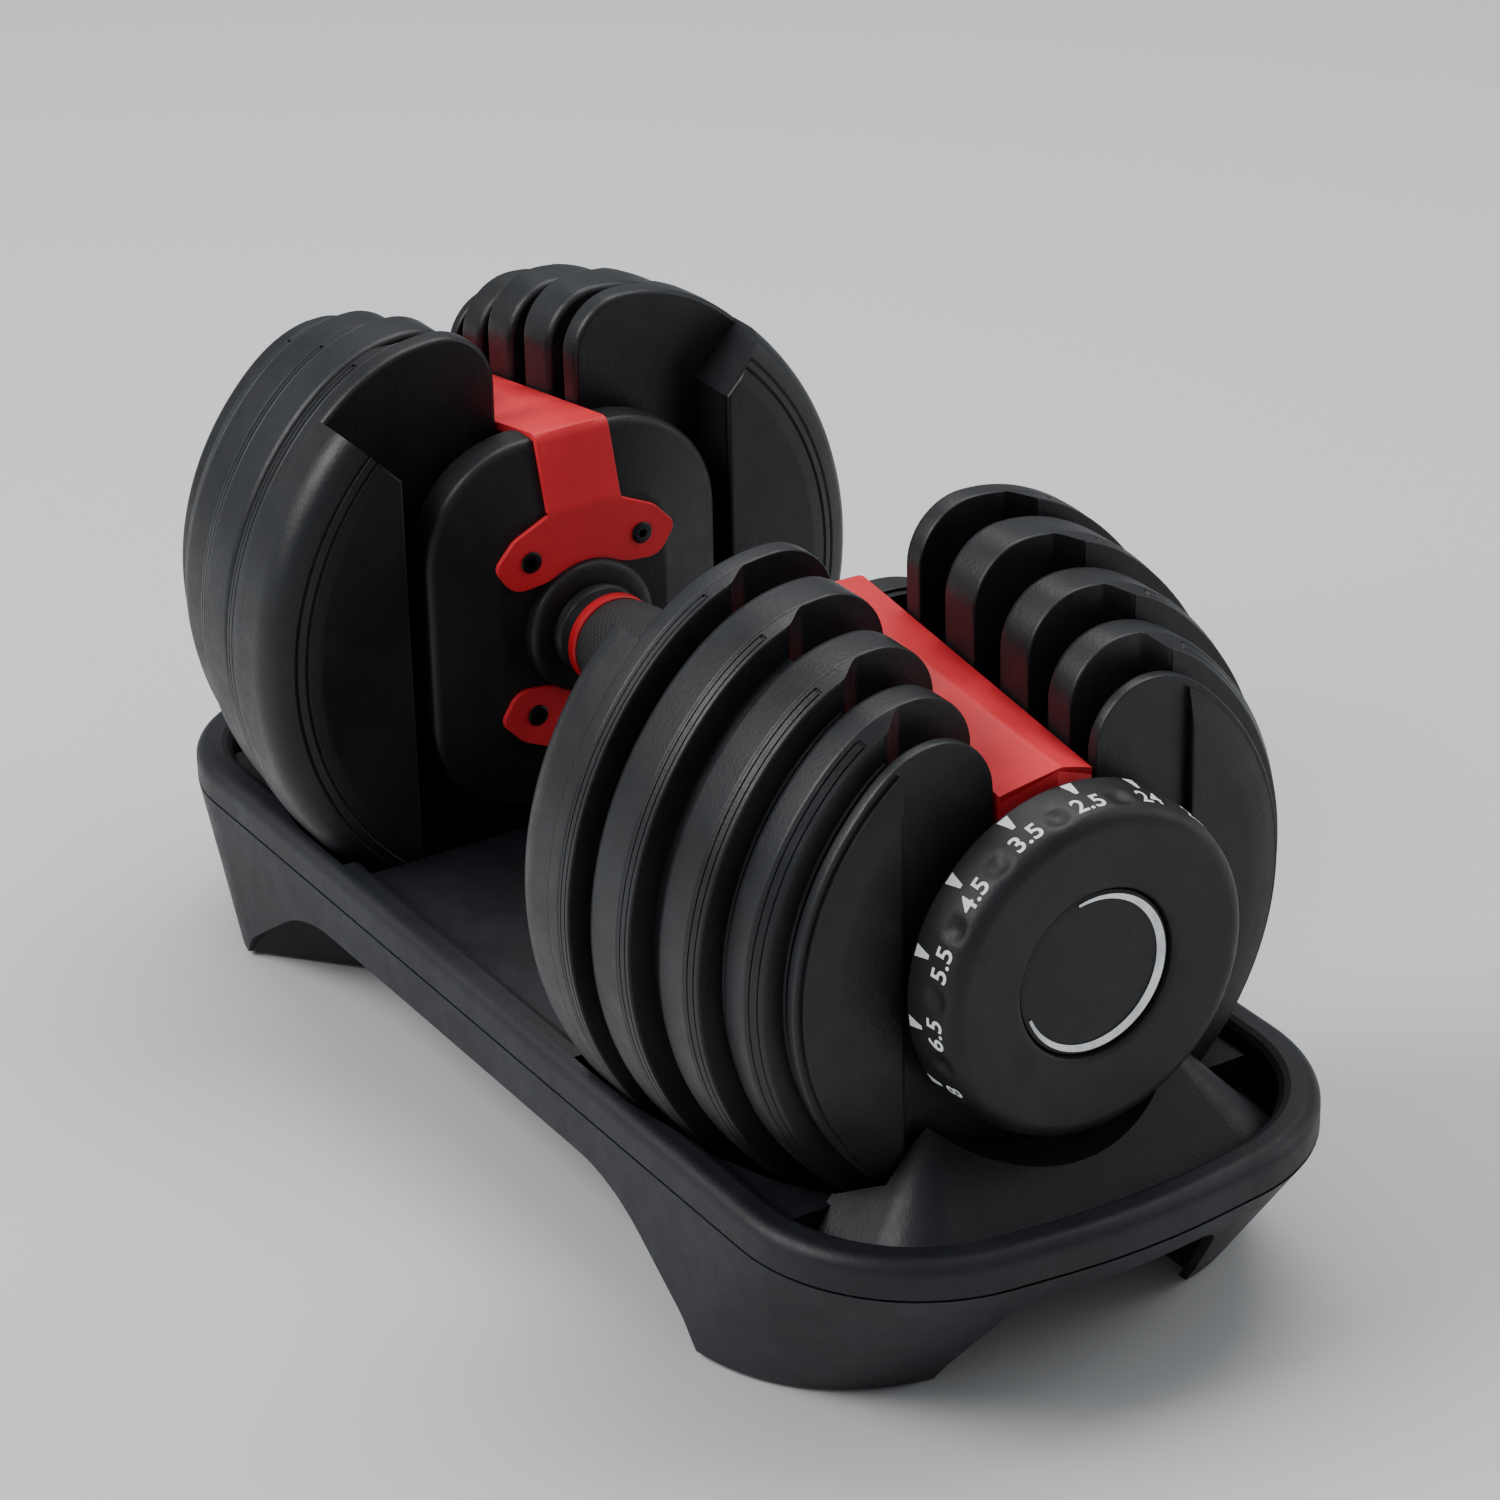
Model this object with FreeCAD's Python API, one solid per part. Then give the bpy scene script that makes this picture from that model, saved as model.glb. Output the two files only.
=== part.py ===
import FreeCAD, Part
import math
import os

from FreeCAD import Vector

# Adjustable dumbbell with selector dials, docked in its storage tray.
# Frame: millimetres, +Z up, origin on the ground below the middle of the tray.
# The handle axis runs along X. Every piece is first drawn about the handle
# centre, with z = 0 on the handle axis, and then put in place by export().

# ---- driving dimensions -------------------------------------------------
AXIS_HEIGHT = 120.0          # handle axis above the ground
HANDLE_SHIFT = -12.0         # handle centre from the tray's middle, along X
GROUND = -AXIS_HEIGHT

# weight plates, innermost first
PLATE_START = (77.0, 106.0, 131.0, 152.0, 170.0)    # inner edge of the rim
PLATE_RADIUS = (103.2, 100.0, 94.2, 87.0, 78.8)
RIM_BAND = (19.0, 15.0, 14.0, 11.0, 4.0)            # full-radius band of the rim
PLATE_END = (104.5, 129.5, 150.5, 168.5, 177.0)     # outer end of the side lobes
WEB_START = (87.0, 106.0, 131.0, 152.0, 170.0)      # web and ears, inner face
WEB_END = (96.0, 121.0, 145.0, 163.0, 174.0)
SLOT_HALF = (13.8, 14.4, 15.0, 15.6, 16.2)          # half width of the open slot
LOBE_EDGE = (50.0, 48.0, 47.0, 46.0, 46.0)          # side lobes lie beyond this |y|
EAR_DROP = 12.0              # ear tips below the plate radius
EAR_ROUND = 18.0             # corner radius between slot and ear tip
STEP_LENGTH = 4.5            # second, smaller band of the rim
STEP_DEPTH = 2.2
UNDERCUT = 9.0               # radius lost between neighbouring rims
INNER_LOBE_EDGE = 56.5       # inner plate: lobes clear the end housing
INNER_LOBE_START = 69.6
INNER_LOBE_TOP = 58.0        # height where the lobe edge turns outwards
COVER_WALL = 1.8             # moulded cover round each steel core
THIN_WALL = 0.9              # the same on the thin outer plate
CORE_DROP = 11.5             # side slab of the steel core below the plate radius
LUG_LENGTH = 1.0

# handle unit
GRIP_HALF = 46.0
GRIP_RADIUS = 15.6
GRIP_BULGE = 17.4
RING_END = 50.0
RING_RADIUS = 16.6
COLLAR_END = 58.0
COLLAR_RADIUS = 15.4
TUBE_RADIUS = 12.0           # steel grip tube
ROD_RADIUS = 7.0             # tie rod through the whole handle
ROD_HALF = 193.0

HOUSING_FACE = 63.0
HOUSING_BACK = 79.0
HOUSING_COVER_END = 81.5
HOUSING_HALF_Y = 50.5
HOUSING_HALF_Z = 61.0
HOUSING_ROUND = 36.0
HOUSING_WALL = 2.8
BEVEL_DEPTH, BEVEL_INSET = 6.6, 22.0                # slope round the flat of the front face
BOSS_RADIUS = 19.5

FLANGE_FACE = 61.4           # red brackets, face towards the grip
SCREW_Y, SCREW_Z = 19.3, 25.5
BRIDGE_IN, BRIDGE_OUT = 70.5, 180.3
BRIDGE_HALF_IN, BRIDGE_HALF_OUT = 12.7, 15.0
BRIDGE_EAVE_IN, BRIDGE_EAVE_OUT = 62.8, 45.6
BRIDGE_RIDGE_IN, BRIDGE_RIDGE_OUT = 64.6, 53.0
BRIDGE_WALL = 3.0

BEARING_START, BEARING_END, BEARING_RADIUS = 175.4, 179.4, 33.0

# dials and selectors
DIAL_BACK, DIAL_FACE = 181.2, 200.0
DIAL_RADIUS, DIAL_FRONT_RADIUS = 49.0, 46.6
DIAL_SETTINGS = 15
CAP_RADIUS = 24.0
CAP_FACE = 197.2
CRESCENT_OUT, CRESCENT_IN = 22.7, 20.9
SELECTOR_RADIUS = 40.0
SELECTOR_THICK = 3.0
SELECTOR_GAP = 1.5           # selector disc to the web of its plate
SELECTOR_TUBE, SELECTOR_BORE = 11.5, 8.0
RUNNING_FIT = 0.05
DETENT_START, DETENT_END, DETENT_RADIUS = 72.0, 76.5, 28.0

# lock pins under the end housings
PIN_X, PIN_RADIUS = 74.2, 2.6
PIN_TOP, PIN_TIP = -33.0, -62.0

# storage tray
TRAY_FAR, TRAY_NEAR = -200.0, 224.0
TRAY_HALF_Y = 89.6
SEAM, RIM_TOP, DECK = -72.0, -60.5, -66.5
CHANNEL = -76.0
RIM_WIDTH = 12.0
SEAM_CHAMFER = 0.8
FOOT_FAR, FOOT_NEAR, FOOT_HALF_Y = -176.0, 190.0, 89.6
SKIRT_WALL = 3.2
PIT_GAP, PIT_WALL = 1.0, 3.0
CRADLE_RADIUS = 59.0
BLOCK_FOOT_NEAR, BLOCK_FOOT_FAR, BLOCK_TOP = 214.0, 190.0, 176.0
BLOCK_FOOT_HALF, BLOCK_TOP_HALF = 74.5, 38.3
ARCH_HALF, ARCH_HEIGHT = 136.0, 35.0                # openings under the long sides
ARCH_SHIFT = 3.0
END_ARCH_HALF, END_ARCH_HEIGHT = 43.0, 37.0
PAD_HEIGHT = 1.5
SCREW_SPOTS = ((134.0, 72.0), (134.0, -72.0), (-128.0, 72.0), (-128.0, -72.0))
PAD_SPOTS = ((152.0, 58.0), (152.0, -58.0), (-143.0, 58.0), (-143.0, -58.0))


# ---- helpers ------------------------------------------------------------
def cylinder_x(radius, x0, x1, bore=0.0, y=0.0, z=0.0):
    """Solid or hollow cylinder along X."""
    body = Part.makeCylinder(radius, x1 - x0, Vector(x0, y, z), Vector(1, 0, 0))
    if bore:
        body = body.cut(Part.makeCylinder(bore, x1 - x0, Vector(x0, y, z), Vector(1, 0, 0)))
    return body


def box(x0, x1, y0, y1, z0, z1):
    return Part.makeBox(x1 - x0, y1 - y0, z1 - z0, Vector(x0, y0, z0))


def spin_x(profile):
    """Turn a closed (x, r) profile about the handle axis."""
    points = [Vector(x, 0, r) for x, r in profile]
    face = Part.Face(Part.makePolygon(points + points[:1]))
    return face.revolve(Vector(0, 0, 0), Vector(1, 0, 0), 360)


def fused(shapes):
    body = shapes[0].multiFuse(shapes[1:]) if len(shapes) > 1 else shapes[0]
    return body.removeSplitter()


def rounded_wire(points, radii, place):
    """Closed wire through 2-D points with rounded corners; place maps (u, v) to 3-D."""
    count = len(points)
    starts, mids, ends = [], [], []
    for i, (u, v) in enumerate(points):
        before, after = points[i - 1], points[(i + 1) % count]
        a = (before[0] - u, before[1] - v)
        b = (after[0] - u, after[1] - v)
        la, lb = math.hypot(*a), math.hypot(*b)
        a, b = (a[0] / la, a[1] / la), (b[0] / lb, b[1] / lb)
        half = math.acos(max(-1.0, min(1.0, a[0] * b[0] + a[1] * b[1]))) / 2
        radius = radii[i]
        if radius <= 0:
            starts.append((u, v)), mids.append(None), ends.append((u, v))
            continue
        reach = radius / math.tan(half)
        bis = (a[0] + b[0], a[1] + b[1])
        lbis = math.hypot(*bis)
        depth = radius / math.sin(half) - radius
        starts.append((u + a[0] * reach, v + a[1] * reach))
        mids.append((u + bis[0] / lbis * depth, v + bis[1] / lbis * depth))
        ends.append((u + b[0] * reach, v + b[1] * reach))
    edges = []
    for i in range(count):
        if mids[i]:
            edges.append(Part.Arc(place(*starts[i]), place(*mids[i]), place(*ends[i])).toShape())
        start, end = place(*ends[i]), place(*starts[(i + 1) % count])
        if start.distanceToPoint(end) > 1e-6:
            edges.append(Part.makeLine(start, end))
    return Part.Wire(edges)


def prism_x(wire_at, x0, x1):
    """Extrude along X the wire that wire_at gives at x0."""
    return Part.Face(wire_at(x0)).extrude(Vector(x1 - x0, 0, 0))


def mirrored(shape):
    """The same piece at the other end of the handle."""
    return shape.mirror(Vector(0, 0, 0), Vector(1, 0, 0))


def turned(shape, degrees):
    copy = shape.copy()
    copy.rotate(Vector(0, 0, 0), Vector(1, 0, 0), degrees)
    return copy


def export(name, shape):
    placed = shape.copy()
    placed.translate(Vector(HANDLE_SHIFT, 0, AXIS_HEIGHT))
    placed.exportStep("parts/" + name + ".step")


def export_pair(name, shape):
    """A piece of the right-hand end and its mirror image at the left-hand end."""
    export(name + "_right", shape)
    export(name + "_left", mirrored(shape))


# ---- weight plates ------------------------------------------------------
def ear_wire(k, x):
    """Outline of a plate's web: full circle with two round ears beside the slot."""
    radius, slot = PLATE_RADIUS[k], SLOT_HALF[k]
    tip = radius - EAR_DROP
    join = math.radians(40)

    def at(y, z):
        return Vector(x, y, z)

    def side(s):
        corner = Part.Arc(at(s * slot, tip - EAR_ROUND),
                          at(s * (slot + EAR_ROUND * (1 - math.sqrt(0.5))),
                             tip - EAR_ROUND * (1 - math.sqrt(0.5))),
                          at(s * (slot + EAR_ROUND), tip)).toShape()
        spline = Part.BSplineCurve()
        spline.interpolate(Points=[at(s * (slot + EAR_ROUND), tip),
                                   at(s * radius * math.cos(join), radius * math.sin(join))],
                           InitialTangent=at(s, 0) - at(0, 0),
                           FinalTangent=at(s * math.sin(join), -math.cos(join)) - at(0, 0))
        wall = Part.makeLine(at(s * slot, 0), at(s * slot, tip - EAR_ROUND))
        return [wall, corner, spline.toShape()]

    rim = Part.Arc(at(radius * math.cos(join), radius * math.sin(join)), at(0, -radius),
                   at(-radius * math.cos(join), radius * math.sin(join))).toShape()
    floor = Part.Arc(at(-slot, 0), at(0, -slot), at(slot, 0)).toShape()
    left = side(-1)
    return Part.Wire(Part.__sortEdges__(side(1) + [rim] + left + [floor]))


def lobe_regions(edge, x0, x1, radius, top=None):
    """Two blocks that keep only the side lobes of a turned shape."""
    reach = radius + 5
    outline = [(edge, -reach), (edge, reach), (reach + 40, reach), (reach + 40, -reach)]
    if top is not None:
        outline[1:2] = [(edge, top), (edge + 0.8 * (reach - top), reach)]
    blocks = []
    for s in (1, -1):
        points = [Vector(x0, s * y, z) for y, z in outline]
        blocks.append(Part.Face(Part.makePolygon(points + points[:1])).extrude(Vector(x1 - x0, 0, 0)))
    return blocks[0].fuse(blocks[1])


def plate_body(k):
    """Outer form of plate k at the right-hand end."""
    radius, start = PLATE_RADIUS[k], PLATE_START[k]
    band, end = start + RIM_BAND[k], PLATE_END[k]
    web = prism_x(lambda x: ear_wire(k, x), WEB_START[k], WEB_END[k])
    outer = [(band, 0), (band, radius), (band + 0.4, radius - STEP_DEPTH)]
    if k < 4:
        outer += [(band + STEP_LENGTH, radius - STEP_DEPTH),
                  (band + STEP_LENGTH, radius - UNDERCUT), (end, radius - UNDERCUT), (end, 0)]
    else:
        outer += [(end - 1.0, radius - 3.5), (end, radius - 8.0), (end, 0)]
    lobes = spin_x(outer).common(lobe_regions(LOBE_EDGE[k], band, end, radius))
    parts = [web, lobes]
    if k == 0:
        inner = [(INNER_LOBE_START, 0), (INNER_LOBE_START, radius - 16.0),
                 (INNER_LOBE_START + 2.4, radius - 6.0), (start - 1.0, radius - 0.8),
                 (start + 1.5, radius), (band, radius), (band, 0)]
        parts.append(spin_x(inner).common(
            lobe_regions(INNER_LOBE_EDGE, INNER_LOBE_START, band, radius, INNER_LOBE_TOP)))
    lug_z = -SELECTOR_RADIUS + 9.0
    parts.append(box(WEB_START[k] - LUG_LENGTH, WEB_START[k], -8, 8, lug_z - 4, lug_z))
    return fused(parts)


def core_body(k):
    """Steel core of plate k, inside its moulded cover."""
    wall = THIN_WALL if k == 4 else COVER_WALL
    radius = PLATE_RADIUS[k] - 6.0
    slot = SLOT_HALF[k] + 5.0
    x0, x1 = WEB_START[k] + wall, WEB_END[k] - wall
    core = cylinder_x(radius, x0, x1)
    core = core.cut(box(x0, x1, -slot, slot, 0, radius + 1)).cut(cylinder_x(slot, x0, x1))
    core = core.cut(box(x0, x1, -radius, radius, PLATE_RADIUS[k] - 30.0, radius + 1))
    if k == 0:
        inside = INNER_LOBE_START + wall + 2.0
        slab = cylinder_x(PLATE_RADIUS[0] - CORE_DROP - 2.0, inside, PLATE_END[0] - wall)
        slab = slab.common(lobe_regions(INNER_LOBE_EDGE + 2.5, inside, PLATE_END[0], radius, 48.0))
        core = fused([core, slab])
    elif k < 4:
        slab = cylinder_x(PLATE_RADIUS[k] - CORE_DROP, x0, PLATE_END[k] - wall)
        slab = slab.common(lobe_regions(LOBE_EDGE[k] + 2.5, x0, PLATE_END[k], radius, 48.0))
        core = fused([core, slab])
    return core


def locating_holes(k):
    """Holes left in the cover by the pins that hold the core while it is moulded."""
    radius = 0.5 * (LOBE_EDGE[k] + PLATE_RADIUS[k] - 6.0)
    length = PLATE_END[k] - WEB_START[k]
    return [cylinder_x(2.0, WEB_START[k] + 0.3 * length, PLATE_END[k] + 1, y=s * radius, z=-10.0)
            for s in (1, -1)]


def make_plates():
    for k in range(5):
        core = core_body(k)
        cover = plate_body(k).cut(core)
        for hole in locating_holes(k):
            cover = cover.cut(hole.cut(core))
        export_pair("plate_%d_cover" % (k + 1), cover)
        export_pair("plate_%d_core" % (k + 1), core)


# ---- grip and end housings ----------------------------------------------
def housing_wire(inset):
    y, z, r = HOUSING_HALF_Y - inset, HOUSING_HALF_Z - inset, HOUSING_ROUND - inset
    corners = [(y, z), (-y, z), (-y, -z), (y, -z)]
    return lambda x: rounded_wire(corners, [r] * 4, lambda u, v: Vector(x, u, v))


def make_grip():
    export("tie_rod", cylinder_x(ROD_RADIUS, -ROD_HALF, ROD_HALF))
    export("grip_tube", cylinder_x(TUBE_RADIUS, -62.0, 62.0, bore=SELECTOR_BORE))
    sleeve = spin_x([(-GRIP_HALF, TUBE_RADIUS), (-GRIP_HALF, GRIP_RADIUS), (-26, GRIP_BULGE),
                     (26, GRIP_BULGE), (GRIP_HALF, GRIP_RADIUS), (GRIP_HALF, TUBE_RADIUS)])
    export("grip_sleeve", sleeve)
    ring = cylinder_x(RING_RADIUS, GRIP_HALF, RING_END, bore=TUBE_RADIUS)
    export("grip_rings", Part.makeCompound([ring, mirrored(ring)]))
    collar = cylinder_x(COLLAR_RADIUS, RING_END, COLLAR_END, bore=TUBE_RADIUS)
    export("grip_collars", Part.makeCompound([collar, mirrored(collar)]))


def housing_form(back):
    """Outer form of the end housing from its bevelled face to back."""
    widest = HOUSING_FACE + BEVEL_DEPTH
    front = Part.makeLoft([housing_wire(BEVEL_INSET)(HOUSING_FACE), housing_wire(0)(widest)],
                          True, True)
    return front.fuse(prism_x(housing_wire(0), widest, back))


def make_housings():
    shell = housing_form(HOUSING_BACK).fuse(cylinder_x(BOSS_RADIUS, COLLAR_END, HOUSING_FACE + 2))
    inner_face = HOUSING_FACE + HOUSING_WALL
    inner_edge = inner_face + BEVEL_DEPTH
    shell = shell.cut(Part.makeLoft([housing_wire(BEVEL_INSET + HOUSING_WALL)(inner_face),
                                     housing_wire(HOUSING_WALL)(inner_edge)], True, True))
    shell = shell.cut(prism_x(housing_wire(HOUSING_WALL), inner_edge, HOUSING_BACK))
    shell = shell.cut(cylinder_x(TUBE_RADIUS, COLLAR_END, 62.0))
    shell = shell.cut(cylinder_x(SELECTOR_BORE, 62.0, 70.0))
    pin_hole = Part.makeCylinder(PIN_RADIUS + 0.2, 20, Vector(PIN_X, 0, -HOUSING_HALF_Z - 2))
    shell = shell.cut(pin_hole)
    for y in (SCREW_Y, -SCREW_Y):
        for z in (SCREW_Z, -SCREW_Z):
            shell = shell.cut(cylinder_x(1.6, HOUSING_FACE - 1, 67.0, y=y, z=z))
    export_pair("housing", shell.removeSplitter())
    cover = prism_x(housing_wire(1.0), HOUSING_BACK, HOUSING_COVER_END)
    cover = cover.cut(cylinder_x(SELECTOR_TUBE + RUNNING_FIT, HOUSING_BACK, HOUSING_COVER_END))
    export_pair("housing_cover", cover)


# ---- red brackets -------------------------------------------------------
def flange(x0, x1):
    """Two-eared flange that is screwed to the housing face."""
    outline = [(13.0, 62.0), (13.0, 38.6), (24.5, 33.4), (31.6, 25.6), (25.5, 16.2),
               (14.0, 17.2), (0.0, 22.6)]
    left = [(-y, z) for y, z in reversed(outline[:-1])]
    radii = [0, 2.5, 6.0, 3.5, 7.0, 12.0, 24.0, 12.0, 7.0, 3.5, 6.0, 2.5, 0]
    plate = prism_x(lambda x: rounded_wire(outline + left, radii, lambda u, v: Vector(x, u, v)),
                    x0, x1)
    for y in (SCREW_Y, -SCREW_Y):
        plate = plate.cut(cylinder_x(1.8, x0, x1, y=y, z=SCREW_Z))
    return plate


def roof_wire(x, half, eave, ridge):
    """Peaked section of the bridge at one x, closed below by its thickness."""
    points = [(-half, eave - BRIDGE_WALL), (-half, eave), (0, ridge), (half, eave),
              (half, eave - BRIDGE_WALL), (0, ridge - BRIDGE_WALL)]
    return Part.makePolygon([Vector(x, y, z) for y, z in points + points[:1]])


def arm(points):
    """Arm of a bracket: an (x, z) outline as wide as the bracket."""
    outline = Part.makePolygon([Vector(x, -BRIDGE_HALF_IN, z) for x, z in points + points[:1]])
    return Part.Face(outline).extrude(Vector(0, 2 * BRIDGE_HALF_IN, 0))


def make_brackets():
    housing = housing_form(HOUSING_COVER_END + 0.5)
    plate = flange(FLANGE_FACE, HOUSING_FACE).cut(box(60, 64, -20, 20, 39.5, 70))
    roof = Part.makeLoft([roof_wire(BRIDGE_IN, BRIDGE_HALF_IN, BRIDGE_EAVE_IN, BRIDGE_RIDGE_IN),
                          roof_wire(BRIDGE_OUT, BRIDGE_HALF_OUT, BRIDGE_EAVE_OUT, BRIDGE_RIDGE_OUT)],
                         True, True)
    rise = arm([(FLANGE_FACE, 36.0), (FLANGE_FACE, 39.5), (67.6, 61.4), (BRIDGE_IN, 63.8),
                (BRIDGE_IN + 1, 63.2), (BRIDGE_IN + 1, 50.0), (HOUSING_FACE, 36.0)])
    outer_leg = box(BEARING_START, BRIDGE_OUT, -BRIDGE_HALF_OUT, BRIDGE_HALF_OUT,
                    BEARING_RADIUS - 6.0, BRIDGE_EAVE_OUT - 1.0)
    outer_leg = outer_leg.cut(cylinder_x(BEARING_RADIUS, BEARING_START - 1, BRIDGE_OUT + 1))
    export_pair("bridge", fused([roof, rise, plate, outer_leg]).cut(housing).removeSplitter())

    hook = arm([(FLANGE_FACE, 36.0), (FLANGE_FACE, 39.5), (67.4, 61.2), (68.4, 63.2),
                (69.4, 63.2), (69.4, 50.0), (HOUSING_FACE, 36.0)])
    lower = fused([hook, plate]).cut(housing).removeSplitter()
    export_pair("lower_bracket", turned(lower, 180))

    screws = []
    for y in (SCREW_Y, -SCREW_Y):
        for z in (SCREW_Z, -SCREW_Z):
            head = cylinder_x(3.0, 60.2, FLANGE_FACE, y=y, z=z)
            head = head.cut(cylinder_x(1.4, 60.2, 61.0, y=y, z=z))
            screw = head.fuse(cylinder_x(1.6, FLANGE_FACE, 66.5, y=y, z=z))
            screws += [screw, mirrored(screw)]
    export("bracket_screws", Part.makeCompound(screws))

    bearing = cylinder_x(BEARING_RADIUS, BEARING_START, BEARING_END, bore=SELECTOR_TUBE + RUNNING_FIT)
    export_pair("end_bearing", bearing)


# ---- dials and selectors ------------------------------------------------
def selector_disc(k):
    """Selector disc with the notches that leave its plate behind, and a carrying lip."""
    x1 = WEB_START[k] - SELECTOR_GAP
    x0 = x1 - SELECTOR_THICK
    disc = cylinder_x(SELECTOR_RADIUS, x0, x1, bore=SELECTOR_TUBE)
    pitch = 360.0 / DIAL_SETTINGS
    notch = box(x0 - 1, x1 + 1, -5.0, 5.0, -SELECTOR_RADIUS - 1, -SELECTOR_RADIUS + 8.0)
    for step in range(k % 3, DIAL_SETTINGS, 3 + k % 2):
        disc = disc.cut(turned(notch, step * pitch))
    return disc


def make_dials():
    groove = math.radians(360.0 / DIAL_SETTINGS)
    knob = spin_x([(DIAL_BACK, SELECTOR_TUBE), (DIAL_BACK, DIAL_RADIUS - 1.0),
                   (DIAL_BACK + 1.0, DIAL_RADIUS), (190.0, DIAL_RADIUS - 0.4),
                   (197.0, DIAL_FRONT_RADIUS + 0.7), (199.2, DIAL_FRONT_RADIUS - 0.8),
                   (DIAL_FACE, DIAL_FRONT_RADIUS - 3.0), (198.6, CAP_RADIUS + 2.0),
                   (198.2, CAP_RADIUS), (188.3, CAP_RADIUS), (188.3, SELECTOR_TUBE)])
    for i in range(DIAL_SETTINGS):
        angle = (i + 0.5) * groove
        knob = knob.cut(cylinder_x(5.0, 190.5, DIAL_FACE + 1, y=51.6 * math.sin(angle),
                                   z=51.6 * math.cos(angle)))
    export_pair("dial_knob", knob)
    cap = cylinder_x(CAP_RADIUS, 194.5, CAP_FACE)
    export_pair("dial_cap", cap)
    crescent = cylinder_x(CRESCENT_OUT, CAP_FACE, CAP_FACE + 0.5)
    crescent = crescent.cut(cylinder_x(CRESCENT_IN, CAP_FACE, CAP_FACE + 0.5, y=-0.95, z=0.95))
    export_pair("dial_crescent", crescent)
    export_pair("selector_tube", cylinder_x(SELECTOR_TUBE, 70.5, 188.3, bore=SELECTOR_BORE))
    export_pair("selector_discs", Part.makeCompound([selector_disc(k) for k in range(5)]))
    wheel = cylinder_x(DETENT_RADIUS, DETENT_START, DETENT_END, bore=SELECTOR_TUBE)
    for i in range(DIAL_SETTINGS):
        notch = cylinder_x(2.4, DETENT_START - 1, DETENT_END + 1, z=DETENT_RADIUS + 0.6)
        wheel = wheel.cut(turned(notch, i * 360.0 / DIAL_SETTINGS))
    export_pair("detent_wheel", wheel)
    nut = cylinder_x(10.5, 188.9, 192.6, bore=ROD_RADIUS)
    export("end_nuts", Part.makeCompound([nut, mirrored(nut)]))


def coil(radius, wire, height, turns, x, z):
    """Compression spring standing on (x, 0, z)."""
    path = Part.makeHelix(height / turns, height, radius)
    section = Part.Wire(Part.makeCircle(wire, Vector(radius, 0, 0), Vector(0, 1, 0)))
    spring = Part.Wire(path.Edges).makePipeShell([section], True, True)
    spring.translate(Vector(x, 0, z))
    return spring


def make_locks():
    pin = Part.makeCylinder(PIN_RADIUS, PIN_TOP - PIN_TIP, Vector(PIN_X, 0, PIN_TIP))
    pin = pin.fuse(Part.makeCylinder(4.0, 2.0, Vector(PIN_X, 0, -43.0))).removeSplitter()
    export("lock_pins", Part.makeCompound([pin, mirrored(pin)]))
    springs = coil(3.4, 0.5, 8.0, 5, PIN_X, -40.2)
    export("lock_springs", Part.makeCompound([springs, mirrored(springs)]))
    ball = Part.makeSphere(2.5, Vector(0.5 * (DETENT_START + DETENT_END), 0, DETENT_RADIUS + 3.0))
    export("detent_balls", Part.makeCompound([ball, mirrored(ball)]))
    detent = coil(2.0, 0.35, 9.0, 5, 0.5 * (DETENT_START + DETENT_END), DETENT_RADIUS + 6.2)
    export("detent_springs", Part.makeCompound([detent, mirrored(detent)]))


# ---- storage tray -------------------------------------------------------
def tray_wire(far, near, half_y, z, inset=0.0):
    """Rounded outline of the tray at height z, with slightly bowed ends."""
    a, b, y, bow = far + inset, near - inset, half_y - inset, 11.0
    points = [(a, 0), (a + bow, -y), (b - bow, -y), (b, 0), (b - bow, y), (a + bow, y)]
    corner_far, corner_near = 46.0 - inset, 56.0 - inset
    radii = [200.0, corner_far, corner_near, 200.0, corner_near, corner_far]
    return rounded_wire(points, radii, lambda u, v: Vector(u, v, z))


def rim_prism(inset, z0, z1):
    wire = tray_wire(TRAY_FAR, TRAY_NEAR, TRAY_HALF_Y, z0, inset)
    return Part.Face(wire).extrude(Vector(0, 0, z1 - z0))


def skirt_form(inset):
    """Tapered body of the tray between its foot and the seam under the rim."""
    lower = tray_wire(FOOT_FAR, FOOT_NEAR, FOOT_HALF_Y, GROUND + PAD_HEIGHT, inset)
    upper = tray_wire(TRAY_FAR, TRAY_NEAR, TRAY_HALF_Y, SEAM, inset)
    return Part.makeLoft([lower, upper], True, True)


def layer(z0, z1):
    return box(-250, 250, -120, 120, z0, z1)


def pit(gap):
    """Smooth trough round the right-hand plates, widened by gap."""
    inside, outside = INNER_LOBE_START - gap, PLATE_END[4] + gap
    profile = [(inside, 0), (inside, PLATE_RADIUS[0] + gap)]
    profile += [(PLATE_START[k] + RIM_BAND[k] + gap, PLATE_RADIUS[k] + gap) for k in range(5)]
    profile += [(outside, PLATE_RADIUS[4] + gap - 2.0), (outside, 0)]
    return spin_x(profile)


def both_pits(gap):
    right = pit(gap)
    return right.fuse(mirrored(right))


def end_block(x_foot):
    """Chamfered block at the end of the trough, under the right-hand dial."""
    wall, foot, crest = PLATE_END[4] - 14.0, CHANNEL - 4.0, -40.0
    low = [(wall, BLOCK_FOOT_HALF), (x_foot, BLOCK_FOOT_HALF),
           (x_foot, -BLOCK_FOOT_HALF), (wall, -BLOCK_FOOT_HALF)]
    high = [(wall, BLOCK_TOP_HALF), (BLOCK_TOP, BLOCK_TOP_HALF),
            (BLOCK_TOP, -BLOCK_TOP_HALF), (wall, -BLOCK_TOP_HALF)]
    sections = [rounded_wire(low, [0, 20.0, 20.0, 0], lambda u, v: Vector(u, v, foot)),
                rounded_wire(high, [0, 3.0, 3.0, 0], lambda u, v: Vector(u, v, crest))]
    return Part.makeLoft(sections, True, True)


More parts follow.
